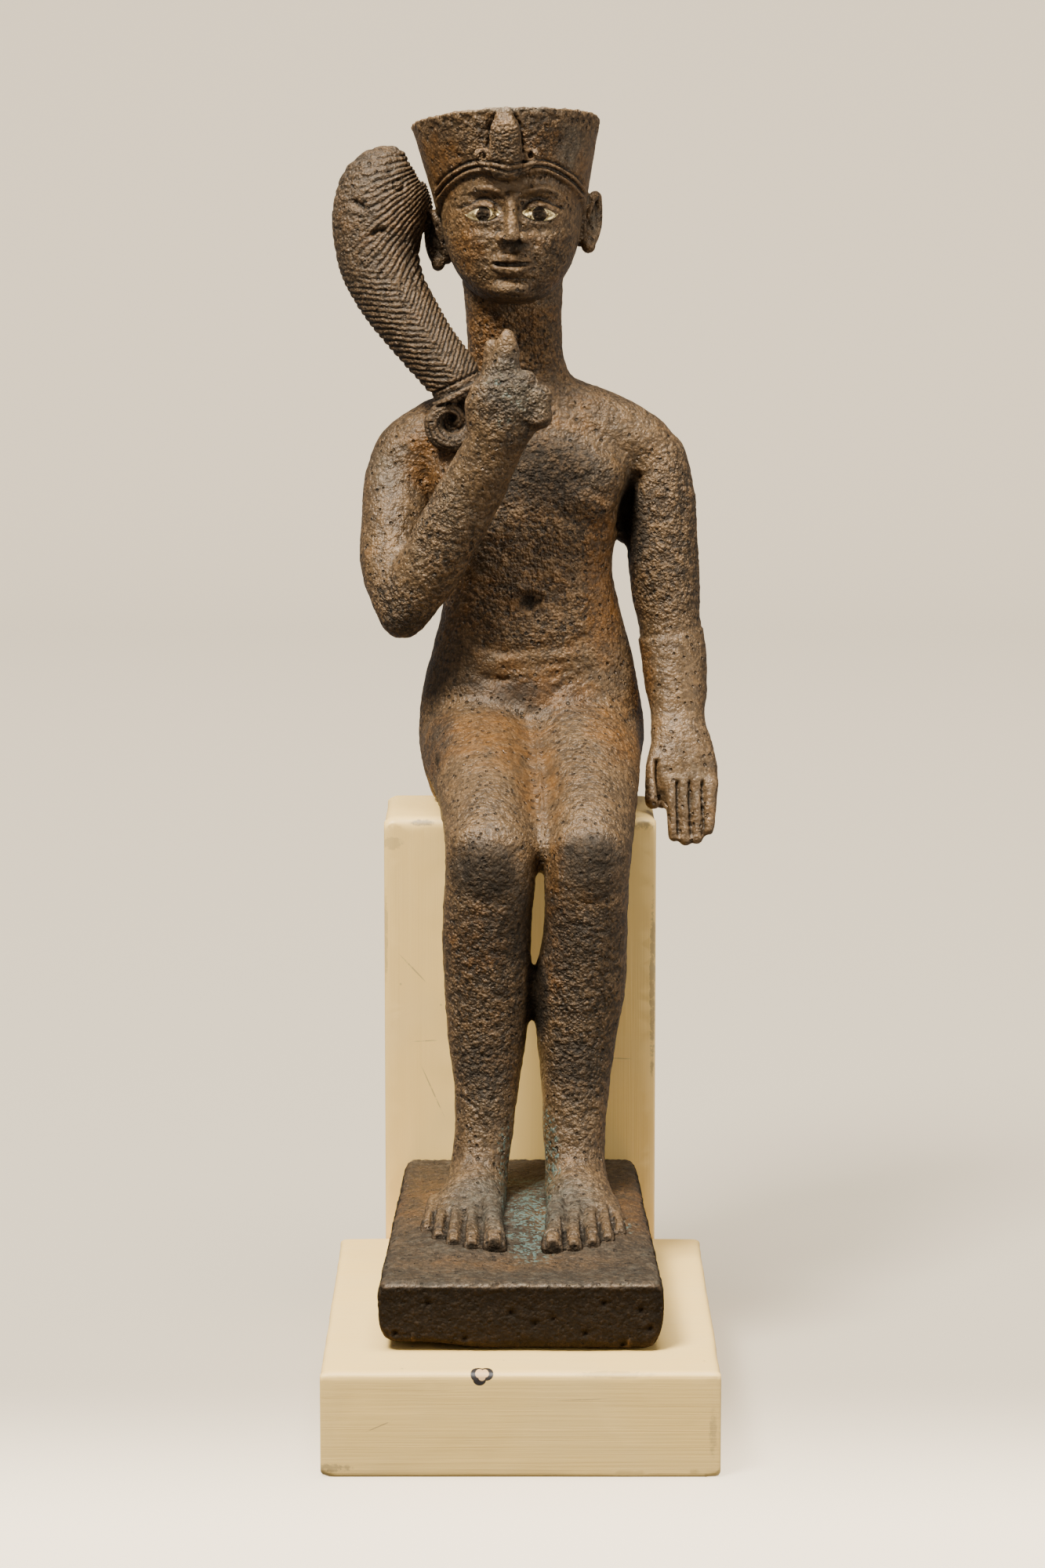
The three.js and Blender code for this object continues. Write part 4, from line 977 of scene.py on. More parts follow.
def makeBody():
    obj = fuse("bronzeBody", makeBodyParts(), bodyMesh["voxel"])
    softenBody(obj)
    carveBody(obj)
    setGroup(obj, "rough", bodySkin(getPoints(obj)))
    displace(obj, "lumps", 5, 0.5)
    displace(obj, "pits", 1.2, 0.6, "rough")
    # the seat and the plate leave room for themselves
    p = getPoints(obj)
    overSeat = (p[:, 1] > slabDepth - gap) & (np.abs(p[:, 0]) < 32.4)
    p[:, 2] = np.where(overSeat & (p[:, 2] > 100), np.maximum(p[:, 2], 124.0 + gap), p[:, 2])
    sinking = (p[:, 2] < 40) & (np.abs(p[:, 0]) < 27)
    p[:, 2] = np.where(sinking, np.maximum(p[:, 2], 34.0), p[:, 2])
    setPoints(obj, p)
    fine = np.maximum(blob(p, (38.2, 124, 126, 14, 14, 18)), smoothStep(50, 46, p[:, 2]))
    thin(obj, bodyMesh["limit"], 0.25 + 0.75 * fine)
    p, n = getSurface(obj)
    tone, green = bodyTone(p, n)
    finishBronze(obj, tone, bodySkin(p), green)


makeBody()
print("body made")


head = {
    "skull": [
        [-1.7, 139, 243.6, 5.6, 9], [-1.8, 139.6, 245, 8.6, 13.4], [-1.8, 141.2, 248.6, 11.9, 17.2],
        [-1.9, 142.4, 253.6, 14.6, 19.5], [-2, 143, 259.6, 16.2, 20.6], [-2.1, 143.2, 266, 16.7, 21],
        [-2.3, 143.4, 272, 16.9, 21.3], [-2.5, 143.4, 278, 16.6, 21],
    ],
    "x": -2, "eyeZ": 264.2, "eyeX": 6.5, "eyeHalf": [4, 1.55], "iris": 1.7,
    # [height, distance in front of the face, half width, half depth]
    "nose": [
        [268.4, -0.2, 1.7, 1.2], [265.2, 0.5, 1.35, 1.6], [262.6, 1.4, 1.5, 2], [260.4, 2.3, 1.8, 2.2],
        [258.8, 2.7, 1.9, 1.9],
    ],
    "chin": ([0, 1.4, 247.3], [4.6, 3.5, 2.9]),
    "brow": [
        [1.7, 268.6, 0.75], [4.4, 269.9, 0.95], [8, 270, 0.95], [11.6, 267.9, 0.8], [13.8, 265.3, 0.6],
    ],
    "upperLid": [
        [2.2, 263.8, 0.5], [4, 265.7, 0.75], [6.5, 266.5, 0.8], [9, 265.8, 0.75], [11, 264.1, 0.6],
        [13.4, 263.7, 0.5],
    ],
    "lowerLid": [
        [2.5, 263.6, 0.45], [4.4, 262.4, 0.55], [6.7, 261.9, 0.6], [9, 262.4, 0.55], [10.8, 263.8, 0.45],
    ],
    "upperLip": [
        [-5.2, 253, 0.45], [-3.1, 253.8, 1], [-1.05, 254.4, 1.15], [0, 254.1, 1.05], [1.05, 254.4, 1.15],
        [3.1, 253.8, 1], [5.2, 253, 0.45],
    ],
    "lowerLip": [
        [-4.6, 252.4, 0.5], [-2.2, 251.5, 1.2], [0, 251.2, 1.35], [2.2, 251.5, 1.2], [4.6, 252.4, 0.5],
    ],
}
ears = {
    "places": [(-1, -19, 257.6), (1, 15.8, 261.8)], "y": 147.4,
    # [out, forward, up, radius] from the ear's middle
    "rim": [
        [-0.4, 2.6, -1.4, 0.8], [0, 3.2, 2, 0.95], [0.8, 3, 4.8, 1.05], [1.8, 1.4, 6.2, 1.1],
        [2.5, -0.6, 5.6, 1.1], [2.8, -1.2, 2.6, 1], [2.6, -0.8, -0.8, 1], [1.7, 0.6, -3.6, 1.15],
        [0.5, 1.8, -5.4, 1.2],
    ],
    "lobe": [0.4, 1.6, -5.4],
}
crown = {
    "x": -3.35, "y": 143, "z": 285.2, "halfWidth": 22.2, "halfDepth": 24.4, "riseToFront": 3.5,
    "riseToLeft": 0.9, "thickness": 0.9, "flare": 0.92, "sides": 96,
    "edge": [[0, 272.4], [24, 273.9], [48, 271], [74, 266.4], [100, 262], [130, 254], [180, 250]],
    "bands": [[0.03, 0.6], [0.115, 0.52]], "grooves": [0.073, 0.165], "bandTurn": 1.32, "foot": 262,
}
cobra = {
    "hood": [
        [-3.3, 120.4, 273, 3, 2.6], [-3.35, 119.5, 275.8, 3.7, 2.9], [-3.4, 118.9, 279.5, 3.75, 3],
        [-3.45, 118.4, 283, 3.6, 3], [-3.45, 118.4, 285.6, 2.9, 2.7], [-3.45, 118.7, 287.6, 1.6, 2],
    ],
    "x": -3.4, "coilX": [-8.6, 2.5], "coilY": 120.3, "coilZ": 277.6, "coil": [1.35, 0.72],
}

skullRun = smoothRun(head["skull"], 8)


def headAt(z):
    return [float(np.interp(z, skullRun[:, 2], skullRun[:, c])) for c in range(5)]


def faceY(across, z):
    _, y, _, a, b = headAt(z)
    return y - b * math.sqrt(max(1 - (across / a) ** 2, 0.02))


def faceRidge(points, side=1, sink=0.25):
    return tube([[head["x"] + side * u, faceY(u, z) + sink, z, r] for u, z, r in points], 14, 5)


def makeEarParts():
    parts = []
    for side, x, z in ears["places"]:
        parts.append(ball(x + side * 0.3, ears["y"] + 0.6, z + 0.4, (2.2, 3.2, 6.2)))
        path = [[x + side * out, ears["y"] - ahead, z + up, r] for out, ahead, up, r in ears["rim"]]
        parts.append(tube(path, 16, 6))
        out, ahead, up = ears["lobe"]
        parts.append(ball(x + side * out, ears["y"] - ahead, z + up, (1.7, 1.7, 1.9)))
        parts.append(ball(x - side * 1.6, ears["y"], z - 0.4, (2.6, 3.2, 5.4)))
    return parts


def crownPoint(turn, level, rimScale=1.0):
    sin, cos = math.sin(turn), math.cos(turn)
    edge = smoothRun(crown["edge"], 8)
    fromFront = abs(180 - math.degrees(turn) % 360)
    lowZ = float(np.interp(fromFront, edge[:, 0], edge[:, 1]))
    x, y, _, a, b = headAt(lowZ)
    fromX, fromY = x + (a + crown["thickness"]) * sin, y + (b + crown["thickness"]) * cos
    rimZ = crown["z"] - crown["riseToFront"] * cos + crown["riseToLeft"] * sin
    return [
        fromX + (crown["x"] + crown["halfWidth"] * rimScale * sin - fromX) * level,
        fromY + (crown["y"] + crown["halfDepth"] * rimScale * cos - fromY) * level,
        lowZ + (rimZ - lowZ) * level ** crown["flare"],
    ]


def crownLine(level, count):
    # points along the front half of the cap's edge
    over = crown["bandTurn"]
    return [crownPoint(turn, level) for turn in np.linspace(math.pi - over, math.pi + over, count)]


def makeCrownParts():
    turns = np.arange(crown["sides"]) * 2 * math.pi / crown["sides"]
    levels = [(level, 1) for level in (0.0, 0.02, 0.1, 0.2, 0.32, 0.46, 0.6, 0.74, 0.86, 0.95)]
    levels += [(0.985, 0.998), (1.0, 0.985)]
    rings = [np.array([crownPoint(turn, level, scale) for turn in turns[::-1]]) for level, scale in levels]
    low, top = rings[0], rings[-1]
    centre, lowCentre = top.mean(axis=0), low.mean(axis=0)
    for scale, drop in ((0.93, 0.05), (0.86, 0.5), (0.5, 0.7)):
        inner = centre + (top - centre) * scale
        inner[:, 2] -= drop
        rings.append(inner)
    start = lowCentre + (low - lowCentre) * 0.5
    start[:, 2] = crown["foot"]
    parts = [wrapRings([start] + rings, start.mean(axis=0), centre - np.array([0, 0, 0.7]))]
    for level, radius in crown["bands"]:
        parts.append(tube([point + [radius] for point in crownLine(level, 41)], 12, 1, (0, 0, 1)))
    return parts


def makeCobraParts():
    parts = [limb(cobra["hood"], sides=36, upright=True, domes=(1.0, 1.2), power=2.7)]
    radius, thick = cobra["coil"]
    y, z = cobra["coilY"], cobra["coilZ"]
    for side, x in zip((-1, 1), cobra["coilX"]):
        ringPath = []
        for t in np.linspace(0, 1, 17):
            angle = math.radians(90 - side * (50 + 330 * t))
            ringPath.append([x + radius * math.cos(angle), y + 0.3 * t, z + radius * math.sin(angle),
                             thick * (1.15 - 0.35 * t)])
        parts.append(tube(ringPath, 14, 2))
        foot = cobra["x"] + side * 2.9
        parts.append(tube([[foot, 120.2, 274.6, 1.0], [(foot + x) / 2, 120.0, 275.0, 1.0],
                           [x + side * 0.3, y, z - radius, 0.95]], 14, 4))
    return parts


def makeHeadParts():
    x = head["x"]
    parts = [limb(head["skull"], sides=72, steps=8, upright=True, domes=(0.8, 3), power=2.15)]
    nose = [[x, faceY(0, z) - ahead, z, a, b] for z, ahead, a, b in head["nose"]]
    parts.append(limb(nose, sides=24, upright=True, domes=(1.2, 0.9)))
    (cx, sink, cz), size = head["chin"]
    parts.append(ball(x + cx, faceY(0, cz) + sink, cz, size))
    eyeX, eyeZ = head["eyeX"], head["eyeZ"]
    for side in (-1, 1):
        parts.append(ball(x + side * 2.55, faceY(2.0, 259.0) - 1.1, 258.9, (1.3, 2.3, 1.45)))
        parts.append(ball(x + side * eyeX, faceY(eyeX, eyeZ) + 3.75, eyeZ, (4.3, 4.0, 3.2)))
        for ridge in ("brow", "upperLid", "lowerLid"):
            parts.append(faceRidge(head[ridge], side))
    parts.append(faceRidge(head["upperLip"], 1, 0.0))
    parts.append(faceRidge(head["lowerLip"], 1, 0.1))
    return parts + makeEarParts() + makeCrownParts() + makeCobraParts()


headForms = {
    # eye hollows, cheeks, the mouth's rounding, the dip under the lip and other soft forms:
    # [place across, height, half width, half height, push forward]
    "pushes": [
        [6.2, 267.9, 4.4, 1.1, -1.2], [2.9, 265.6, 1.3, 2.2, -1.3], [6.8, 260.7, 4.2, 1.1, -0.6],
        [9.2, 258.2, 3.6, 3, 0.7], [0, 252.8, 4.6, 3.2, 0.9], [0, 246.8, 3.4, 2, 0.5],
        [0, 248.9, 3.6, 0.95, -0.75], [5.5, 252.8, 0.9, 1, -0.5], [5.2, 256.8, 0.9, 2, -0.35],
        [0, 256.2, 0.55, 1.2, -0.3],
    ],
    # [height, width, fade at the ends, points across and up]
    "mouth": [[-0.75, 0.38, 0.15, [[-5.2, 252.9], [-2.7, 252.7], [0, 252.6], [2.7, 252.7], [5.2, 252.9]]]],
    "bothSides": [
        [-0.45, 0.42, 0.15, [[2.4, 266.1], [6.4, 267.9], [10.6, 266.1], [13.4, 265]]],
        [-0.4, 0.35, 0.1, [[2.4, 264], [6.5, 265.6], [10.4, 264.2]]],
        [-0.35, 0.35, 0.1, [[2.6, 263.8], [6.5, 262.75], [10.4, 264]]],
        [-0.35, 0.4, 0.2, [[2.2, 260.6], [3.3, 259.6], [3.3, 258.2]]],
    ],
    "earHollow": 1.5, "nostril": 1.1, "rib": 0.13, "ribPitch": 0.86, "capGroove": -0.42, "hoodGap": 0.9,
}


def carveHead(obj):
    p, n = getSurface(obj)
    u, z = p[:, 0] - head["x"], p[:, 2]
    inFace = smoothStep(134, 128, p[:, 1]) * smoothStep(272, 270, z) * smoothStep(-0.05, -0.5, n[:, 1])
    for cu, cz, wu, wz, amount in headForms["pushes"]:
        p[:, 1] -= amount * inFace * np.exp(-((np.abs(u) - cu) / wu) ** 2 - ((z - cz) / wz) ** 2)
    setPoints(obj, p)
    relax(obj, inFace * 0.6, 2)
    p, n = getSurface(obj)
    z = p[:, 2]
    fromMiddle = p - np.array([head["x"], 0, 0])
    lift = carve(fromMiddle, inFace, headForms["mouth"])
    for side in (-1, 1):
        mirrored = fromMiddle * np.array([side, 1, 1])
        lift += carve(mirrored, inFace, headForms["bothSides"])
        nostril = np.hypot((mirrored[:, 0] - 1.5) / 0.8, (p[:, 1] - faceY(0, 258.0) + 1.6) / 1.1)
        below = smoothStep(0.2, -0.5, n[:, 2]) * (np.abs(z - 257.6) < 1.8)
        lift -= headForms["nostril"] * np.exp(-nostril ** 2) * below
    for side, x, earZ in ears["places"]:
        out = (p[:, 0] - x) * side
        hollow = np.exp(-((out - 0.9) / 1.1) ** 2 - ((z - earZ - 1.2) / 3.2) ** 2) * (p[:, 1] < ears["y"])
        lift -= headForms["earHollow"] * hollow * smoothStep(0.0, -0.6, n[:, 1])
    # ribs across the cobra's hood
    fromHood = np.abs(p[:, 0] - cobra["x"])
    hood = smoothStep(3.7, 3.1, fromHood) * smoothStep(-0.1, -0.6, n[:, 1])
    hood *= smoothStep(119.8, 119.2, p[:, 1]) * smoothStep(275.2, 276.4, z) * smoothStep(285.6, 284.6, z)
    ribWave = 0.25 * np.sin(p[:, 0] * 2.6) + 0.12 * np.sin(p[:, 0] * 5.2 + 1.2 * z)
    lift += headForms["rib"] * hood * np.sin((z + ribWave) * 2 * math.pi / headForms["ribPitch"])
    # fine grooves beside the ridges along the cap's edge
    capFront = smoothStep(0.2, -0.2, n[:, 1]) * smoothStep(143, 138, p[:, 1])
    for level in crown["grooves"]:
        path = [[x, z] for x, _, z in crownLine(level, 31)]
        lift += headForms["capGroove"] * capFront * stroke(p, path, 0.3, 0.04, 1)
    # the hood stands clear of the cap
    beside = np.abs(fromHood - np.interp(p[:, 2], (275, 280, 284, 287), (3.9, 4.0, 3.8, 2.2)))
    near = smoothStep(0.1, -0.4, n[:, 1]) * (p[:, 1] < 122.5)
    near *= smoothStep(279.4, 280.4, p[:, 2]) * smoothStep(288, 286, p[:, 2])
    lift -= headForms["hoodGap"] * np.exp(-(beside / 0.5) ** 2) * near
    setPoints(obj, p + n * lift[:, None])
    # worn brim: small dents along the rim
    p = getPoints(obj)
    across, along = (p[:, 0] - crown["x"]) / crown["halfWidth"], (p[:, 1] - crown["y"]) / crown["halfDepth"]
    atRim = smoothStep(0.86, 0.97, np.hypot(across, along))
    setGroup(obj, "rim", smoothStep(281.5, 284.5, p[:, 2]) * atRim)
    displace(obj, "brimWear", 1.6, 0.9, "rim", 2)


headSurface = {
    "rough": [
        [-8, 118, 281, 14, 12, 8, 0.8], [6, 118, 282, 12, 12, 8, 0.8], [9, 128, 255, 9, 12, 9, 0.75],
        [-10, 128, 256, 8, 12, 8, 0.5],
    ],
    "smooth": [
        [-20, 138, 274, 7, 16, 16, 0.3], [14, 136, 274, 8, 14, 12, 0.3], [-2, 124, 270.4, 16, 12, 2.5, 0.2],
    ],
    "darkLevel": [[-3, 130, 281, 26, 20, 9, 0.32]],
    "warm": [
        [-18, 130, 276, 9, 14, 12, 0.6], [8, 122, 281, 14, 12, 7, 0.5], [-12, 128, 258, 7, 10, 10, 0.6],
        [10, 128, 247, 8, 10, 6, 0.5], [3, 122, 256, 5, 6, 7, 0.4], [15, 130, 272, 8, 14, 10, 0.5],
        [-4, 160, 270, 24, 14, 18, 0.35],
    ],
    # the patina's own dark and the dark irises, and painted shade: the cobra hood's shadow on the cap, under
    # the nose and under the chin
    "dark": [
        [-18, 126, 280, 10, 12, 9, 0.35], [2.6, 120, 284, 3, 8, 5, 0.4], [-3.4, 121, 273.8, 7, 5, 1.6, 0.7],
        [6, 124, 246.6, 8, 8, 4, 0.5], [-8.6, 124, 264, 4.6, 5, 3, 0.6], [4.6, 124, 264, 4.6, 5, 3, 0.6],
        [-19, 146, 258, 6, 8, 8, 0.55], [17, 146, 263, 4, 4, 5, 0.5], [-2, 134, 245, 14, 12, 3, 0.5],
        [-2, 121, 257.2, 4, 5, 1.6, 0.7], [-8.5, 124, 264.2, 2.3, 6, 2.2, 1],
        [4.5, 124, 264.2, 2.3, 6, 2.2, 1],
    ],
    # the patina's pale haze, and a painted highlight on the cap's right side
    "pale": [
        [-2, 118, 260, 4, 5, 4, 0.4], [-3.6, 117, 286.5, 4, 5, 2.5, 0.35], [13, 126, 279, 7, 12, 9, 0.6],
        [-6, 122, 288.6, 24, 20, 1.6, 0.75], [-3, 143, 288.6, 24, 26, 1.8, 0.6],
        [-8, 122, 252, 9, 8, 6, 0.3], [-22, 140, 262, 5, 8, 8, 0.5], [18, 148, 262, 4, 6, 8, 0.5],
        [-10, 124, 256, 8, 8, 8, 0.4], [7, 124, 257, 8, 8, 8, 0.4],
    ],
    # what the rest of the head has
    "start": {"rough": 0.45, "warm": 0.22, "dark": 0.05, "pale": 0.06},
}
headMesh = {"voxel": 0.28, "limit": 196000}


def headSkin(p, n):
    start = np.full(len(p), headSurface["start"]["rough"])
    rough = raiseTo(start, p, headSurface["rough"], smoothStep(0.1, -0.4, n[:, 1]))
    return fadeTo(rough, p, headSurface["smooth"])


def headTone(p):
    values = {name: np.full(len(p), start) for name, start in headSurface["start"].items()}
    values["dark"] = fadeTo(values["dark"], p, headSurface["darkLevel"])
    return [raiseTo(values[name], p, headSurface[name]) for name in ("warm", "dark", "pale")]


def makeHead():
    obj = fuse("bronzeHead", makeHeadParts(), headMesh["voxel"])
    p = getPoints(obj)
    relax(obj, 0.6 * smoothStep(1.02, 0.9, np.abs(p[:, 1] - crown["y"]) / crown["halfDepth"]), 2)
    carveHead(obj)
    setGroup(obj, "rough", headSkin(*getSurface(obj)))
    displace(obj, "headLumps", 4, 0.3)
    displace(obj, "headPits", 1, 0.35, "rough", 2)
    thin(obj, headMesh["limit"], 0.3 + 0.7 * blob(getPoints(obj), (-2, 122, 262, 17, 12, 16)))
    p, n = getSurface(obj)
    finishBronze(obj, headTone(p), headSkin(p, n), np.zeros(len(p)))
    return obj


def makeInlay(obj, side, name, node):
    # two curved tongues of gold, left and right of a dark iris, laid on the eyeball
    halfWidth, halfHeight = head["eyeHalf"]
    sight = BVHTree.FromObject(obj, bpy.context.evaluated_depsgraph_get())
    eyeX = head["x"] + side * head["eyeX"]
    height = lambda a: halfHeight * (1 - np.clip(a / halfWidth, 0, 1) ** 2) ** 0.75
    tongues = []
    for way in (-1, 1):
        pick()
        bpy.ops.mesh.primitive_grid_add(x_subdivisions=20, y_subdivisions=14, size=2)
        tongue = bpy.context.object
        flat = readAll(tongue.data.vertices, "co")
        s, t = (flat[:, 0] + 1) / 2, flat[:, 1]
        start = np.sqrt(np.clip(head["iris"] ** 2 - (t * height(head["iris"] * 0.5)) ** 2, 0, None)) + 0.05
        across = start + (halfWidth - start) * s
        up = t * height(across) - 0.10 * across * way * side
        points = []
        for u, v in zip(across * way, up):
            place = Vector(((eyeX + u) * mm, -0.1, (head["eyeZ"] + v) * mm))
            hit = sight.ray_cast(place, Vector((0, 1, 0)))[0]
            points.append([eyeX + u, hit.y / mm + slabDepth / 2 - 0.10, head["eyeZ"] + v])
        p, edges = np.array(points), edgeArrays(tongue)
        for _ in range(6):
            # evens out the front-to-back places without moving the outline
            p[:, 1] = 0.4 * p[:, 1] + 0.6 * neighbourMean(p, edges)[:, 1]
        setPoints(tongue, p)
        applyModifier(tongue, "WELD", "corners", merge_threshold=0.02 * mm)
        onWholeMesh(tongue, bpy.ops.mesh.normals_make_consistent, inside=False)
        if getSurface(tongue)[1][:, 1].mean() > 0:
            onWholeMesh(tongue, bpy.ops.mesh.flip_normals)
        applyModifier(tongue, "SOLIDIFY", "thickness", thickness=0.6 * mm, offset=-1)
        tongues.append(tongue)
    pick(*tongues)
    bpy.ops.object.join()
    inlay = bpy.context.object
    inlay.name = inlay.data.name = name
    finishPiece(inlay, gold, node)


headPiece = makeHead()
makeInlay(headPiece, -1, "goldInlayRight", "eye_inlay_right")
makeInlay(headPiece, 1, "goldInlayLeft", "eye_inlay_left")
print("head made")


lock = {
    "hair": [
        [-28.6, 143.4, 278.3, 2.4, 2.4], [-29.5, 143.4, 277, 4.9, 4.4], [-30.6, 143.4, 274.8, 7.4, 6.2],
        [-31.8, 143.3, 271.6, 9.7, 8], [-32.6, 143.2, 267.6, 10.9, 9], [-33.4, 142.8, 261.6, 11, 9.4],
        [-33.6, 142, 256.4, 10.1, 9], [-32.8, 141, 251.4, 9.4, 8.6], [-30.2, 139.6, 245.4, 8.5, 8],
        [-26.2, 138.2, 239.2, 7.8, 7.4], [-22.3, 137, 233.8, 7.1, 6.8], [-18.7, 136, 229.4, 6.8, 6.2],
        [-15.4, 135, 225.4, 6.5, 5.6], [-13.2, 134.4, 222.2, 5.6, 4.8],
    ],
    "root": [[-24.4, 150.4, 270, 2.4, 3.4], [-24, 150.4, 266, 3.2, 4], [-23.6, 150.2, 261, 2.8, 3.6]],
    "ties": [[-14.7, 134.7, 222.8], [-14.2, 134.7, 223.9]], "tieRadius": [6.1, 5.8], "tieTube": 0.68,
    "tieTilt": [0.2, -0.46], "curl": [-15.9, 134, 216], "curlFloor": [3.2, 2, 3.2], "strandDepth": 0.42,
    # [turn in degrees, distance from the curl's middle, tube radius, distance forward]
    "curlRun": [
        [75, 8.4, 3.6, 0], [52, 6.6, 3.3, 0], [25, 5, 2.9, 0.2], [0, 4.4, 2.6, 0.4], [-30, 4.8, 2.6, 0.6],
        [-60, 5.1, 2.8, 0.7], [-90, 5.3, 2.9, 0.8], [-120, 5.2, 2.8, 0.9], [-150, 4.9, 2.5, 1.1],
        [-180, 4.5, 2.4, 1.3], [-210, 3.7, 2.2, 1.5], [-240, 3, 1.9, 1.6], [-270, 2.6, 1.7, 1.7],
        [-300, 2.3, 1.5, 1.6], [-330, 2.1, 1.4, 1.4], [-360, 1.9, 1.3, 1.2], [-400, 1.6, 1.1, 1],
    ],
    "spokes": [-12.8, 278.7], "pitch": 1.24, "steepPitch": 1, "levelPitch": 1.3,
    "parting": [[-29.5, 249], [-26.1, 242.7], [-23.6, 239], [-20.1, 234.2], [-18, 229.6], [-15.6, 227]],
    # [height, width, fade at the ends, points across and up]
    "slits": [
        [-1.2, 0.62, 0.3, [[-40, 267.4], [-37.8, 266.2], [-35.6, 265]]],
        [-1.2, 0.62, 0.3, [[-35.4, 258.6], [-33, 260.2], [-30.8, 259.8]]],
    ],
    "knob": [-28.5, 270.7],
    # areas in soft ellipsoids: [x, y, z, half x, half y, half z, value]
    "worn": [[-41, 138, 262, 7, 10, 17, 0.75], [-36, 138, 248, 6, 10, 8, 0.35]],
    "warm": [
        [-28, 134, 262, 9, 10, 12, 0.5], [-40, 138, 262, 5, 8, 8, 0.3], [-24, 140, 240, 6, 10, 14, 0.35],
        [-36, 136, 258, 4, 6, 4, 0.5],
    ],
    "dark": [
        [-42, 142, 258, 5, 12, 12, 0.55], [-24, 144, 262, 6, 14, 16, 0.4],
        [-16.3, 131, 215.8, 1.4, 6, 2.6, 0.9],
    ],
    "pale": [[-34, 134, 270, 12, 8, 8, 0.4], [-34, 132, 250, 9, 8, 10, 0.35]],
    "start": {"warm": 0.22, "dark": 0.55, "pale": 0.16}, "voxel": 0.26,
    "limit": 150000,
}


def makeTie(place):
    x, y, z = place
    (wide, deep), (tiltX, tiltY) = lock["tieRadius"], lock["tieTilt"]
    path = []
    for a in np.linspace(0, 2 * math.pi, 33):
        across, away = wide * math.cos(a), deep * math.sin(a)
        away, up = away * math.cos(tiltX), away * math.sin(tiltX)
        side = across * math.cos(tiltY) + up * math.sin(tiltY)
        up = up * math.cos(tiltY) - across * math.sin(tiltY)
        path.append([x + side, y + away, z + up, lock["tieTube"]])
    return tube(path, 14, 1, (0, 0, 1))


def curlPath(steps=4):
    x, y, z = lock["curl"]
    path = []
    for turn, away, size, forward in lock["curlRun"]:
        angle = math.radians(turn)
        path.append([x + away * math.cos(angle), y - forward, z + away * math.sin(angle), size, size * 0.86])
    return smoothRun(path, steps)


def tieEdge(x):
    # the height of the tie's middle line at x
    tieX, tieZ = (np.mean([place[axis] for place in lock["ties"]]) for axis in (0, 2))
    return tieZ - math.tan(lock["tieTilt"][1]) * (x - tieX)


def carveLock(obj):
    p, n = getSurface(obj)
    x, z = p[:, 0], p[:, 2]
    inFront = p[:, 1] < 142
    # strands fan out like spokes over the swelling part; a parting divides level and steep ones below
    spokeX, spokeZ = lock["spokes"]
    turn = np.degrees(np.arctan2(spokeZ - z, spokeX - x)) - 10
    fan = np.radians(14 * turn + 0.14 * turn ** 2) / lock["pitch"]
    steep = math.radians(72)
    right = (x * math.sin(steep) - z * math.cos(steep)) / lock["steepPitch"]
    left = (-0.06 * x - z) / lock["levelPitch"]
    wave = 0.07 * np.sin(x * 0.9 + z * 0.6) + 0.05 * np.sin(x * 1.7 - z * 1.1)
    ridge = lambda phase: np.abs(np.sin(math.pi * (phase + wave))) ** 0.7 - 0.62
    partingX = np.interp(-z, [-v[1] for v in lock["parting"]], [v[0] for v in lock["parting"]])
    toRight = smoothStep(-0.35, 0.35, x - partingX - 0.5 * np.sin(z * 2.1))
    plait = smoothStep(250.5, 246.5, z + 0.35 * (x + 30))
    lift = ridge(fan) * (1 - plait) + (ridge(right) * toRight + ridge(left) * (1 - toRight)) * plait
    worn = 1 - sum(row[6] * blob(p, row) for row in lock["worn"])
    lift *= lock["strandDepth"] * worn * smoothStep(1.2, 2.2, z - tieEdge(x)) * smoothStep(280.0, 278.6, z)
    lift += carve(p, inFront, lock["slits"])
    knobX, knobZ = lock["knob"]
    away = np.hypot(x - knobX, z - knobZ)
    lift += (0.6 * np.exp(-(away / 0.75) ** 2) - 0.4 * np.exp(-((away - 1.25) / 0.35) ** 2)) * inFront
    # grooves beside the tie, and strands that run along the curl
    offTie = (z - tieEdge(x)) * math.cos(lock["tieTilt"][1])
    nearTie = np.exp(-((np.abs(offTie) - 1.75) / 0.35) ** 2) + 0.7 * np.exp(-(offTie / 0.3) ** 2)
    lift -= 0.55 * nearTie * (np.abs(x - lock["ties"][0][0]) < 8) * (p[:, 1] < 138)
    curl = curlPath(10)
    nearest = np.linalg.norm(p[:, None, [0, 2]] - curl[None, :, [0, 2]], axis=2).argmin(axis=1)
    holeX, _, holeZ = lock["curl"]
    off = np.hypot(x - holeX, z - holeZ) - np.hypot(curl[nearest, 0] - holeX, curl[nearest, 2] - holeZ)
    onCurl = smoothStep(-0.8, -1.8, offTie) * smoothStep(228, 225, z)
    lift += 0.3 * onCurl * (np.abs(np.sin(off * math.pi / 1.25)) ** 0.7 - 0.6)
    setPoints(obj, p + n * lift[:, None])
    setGroup(obj, "rough", 0.5 - 0.3 * onCurl + 0.5 * (1 - worn))


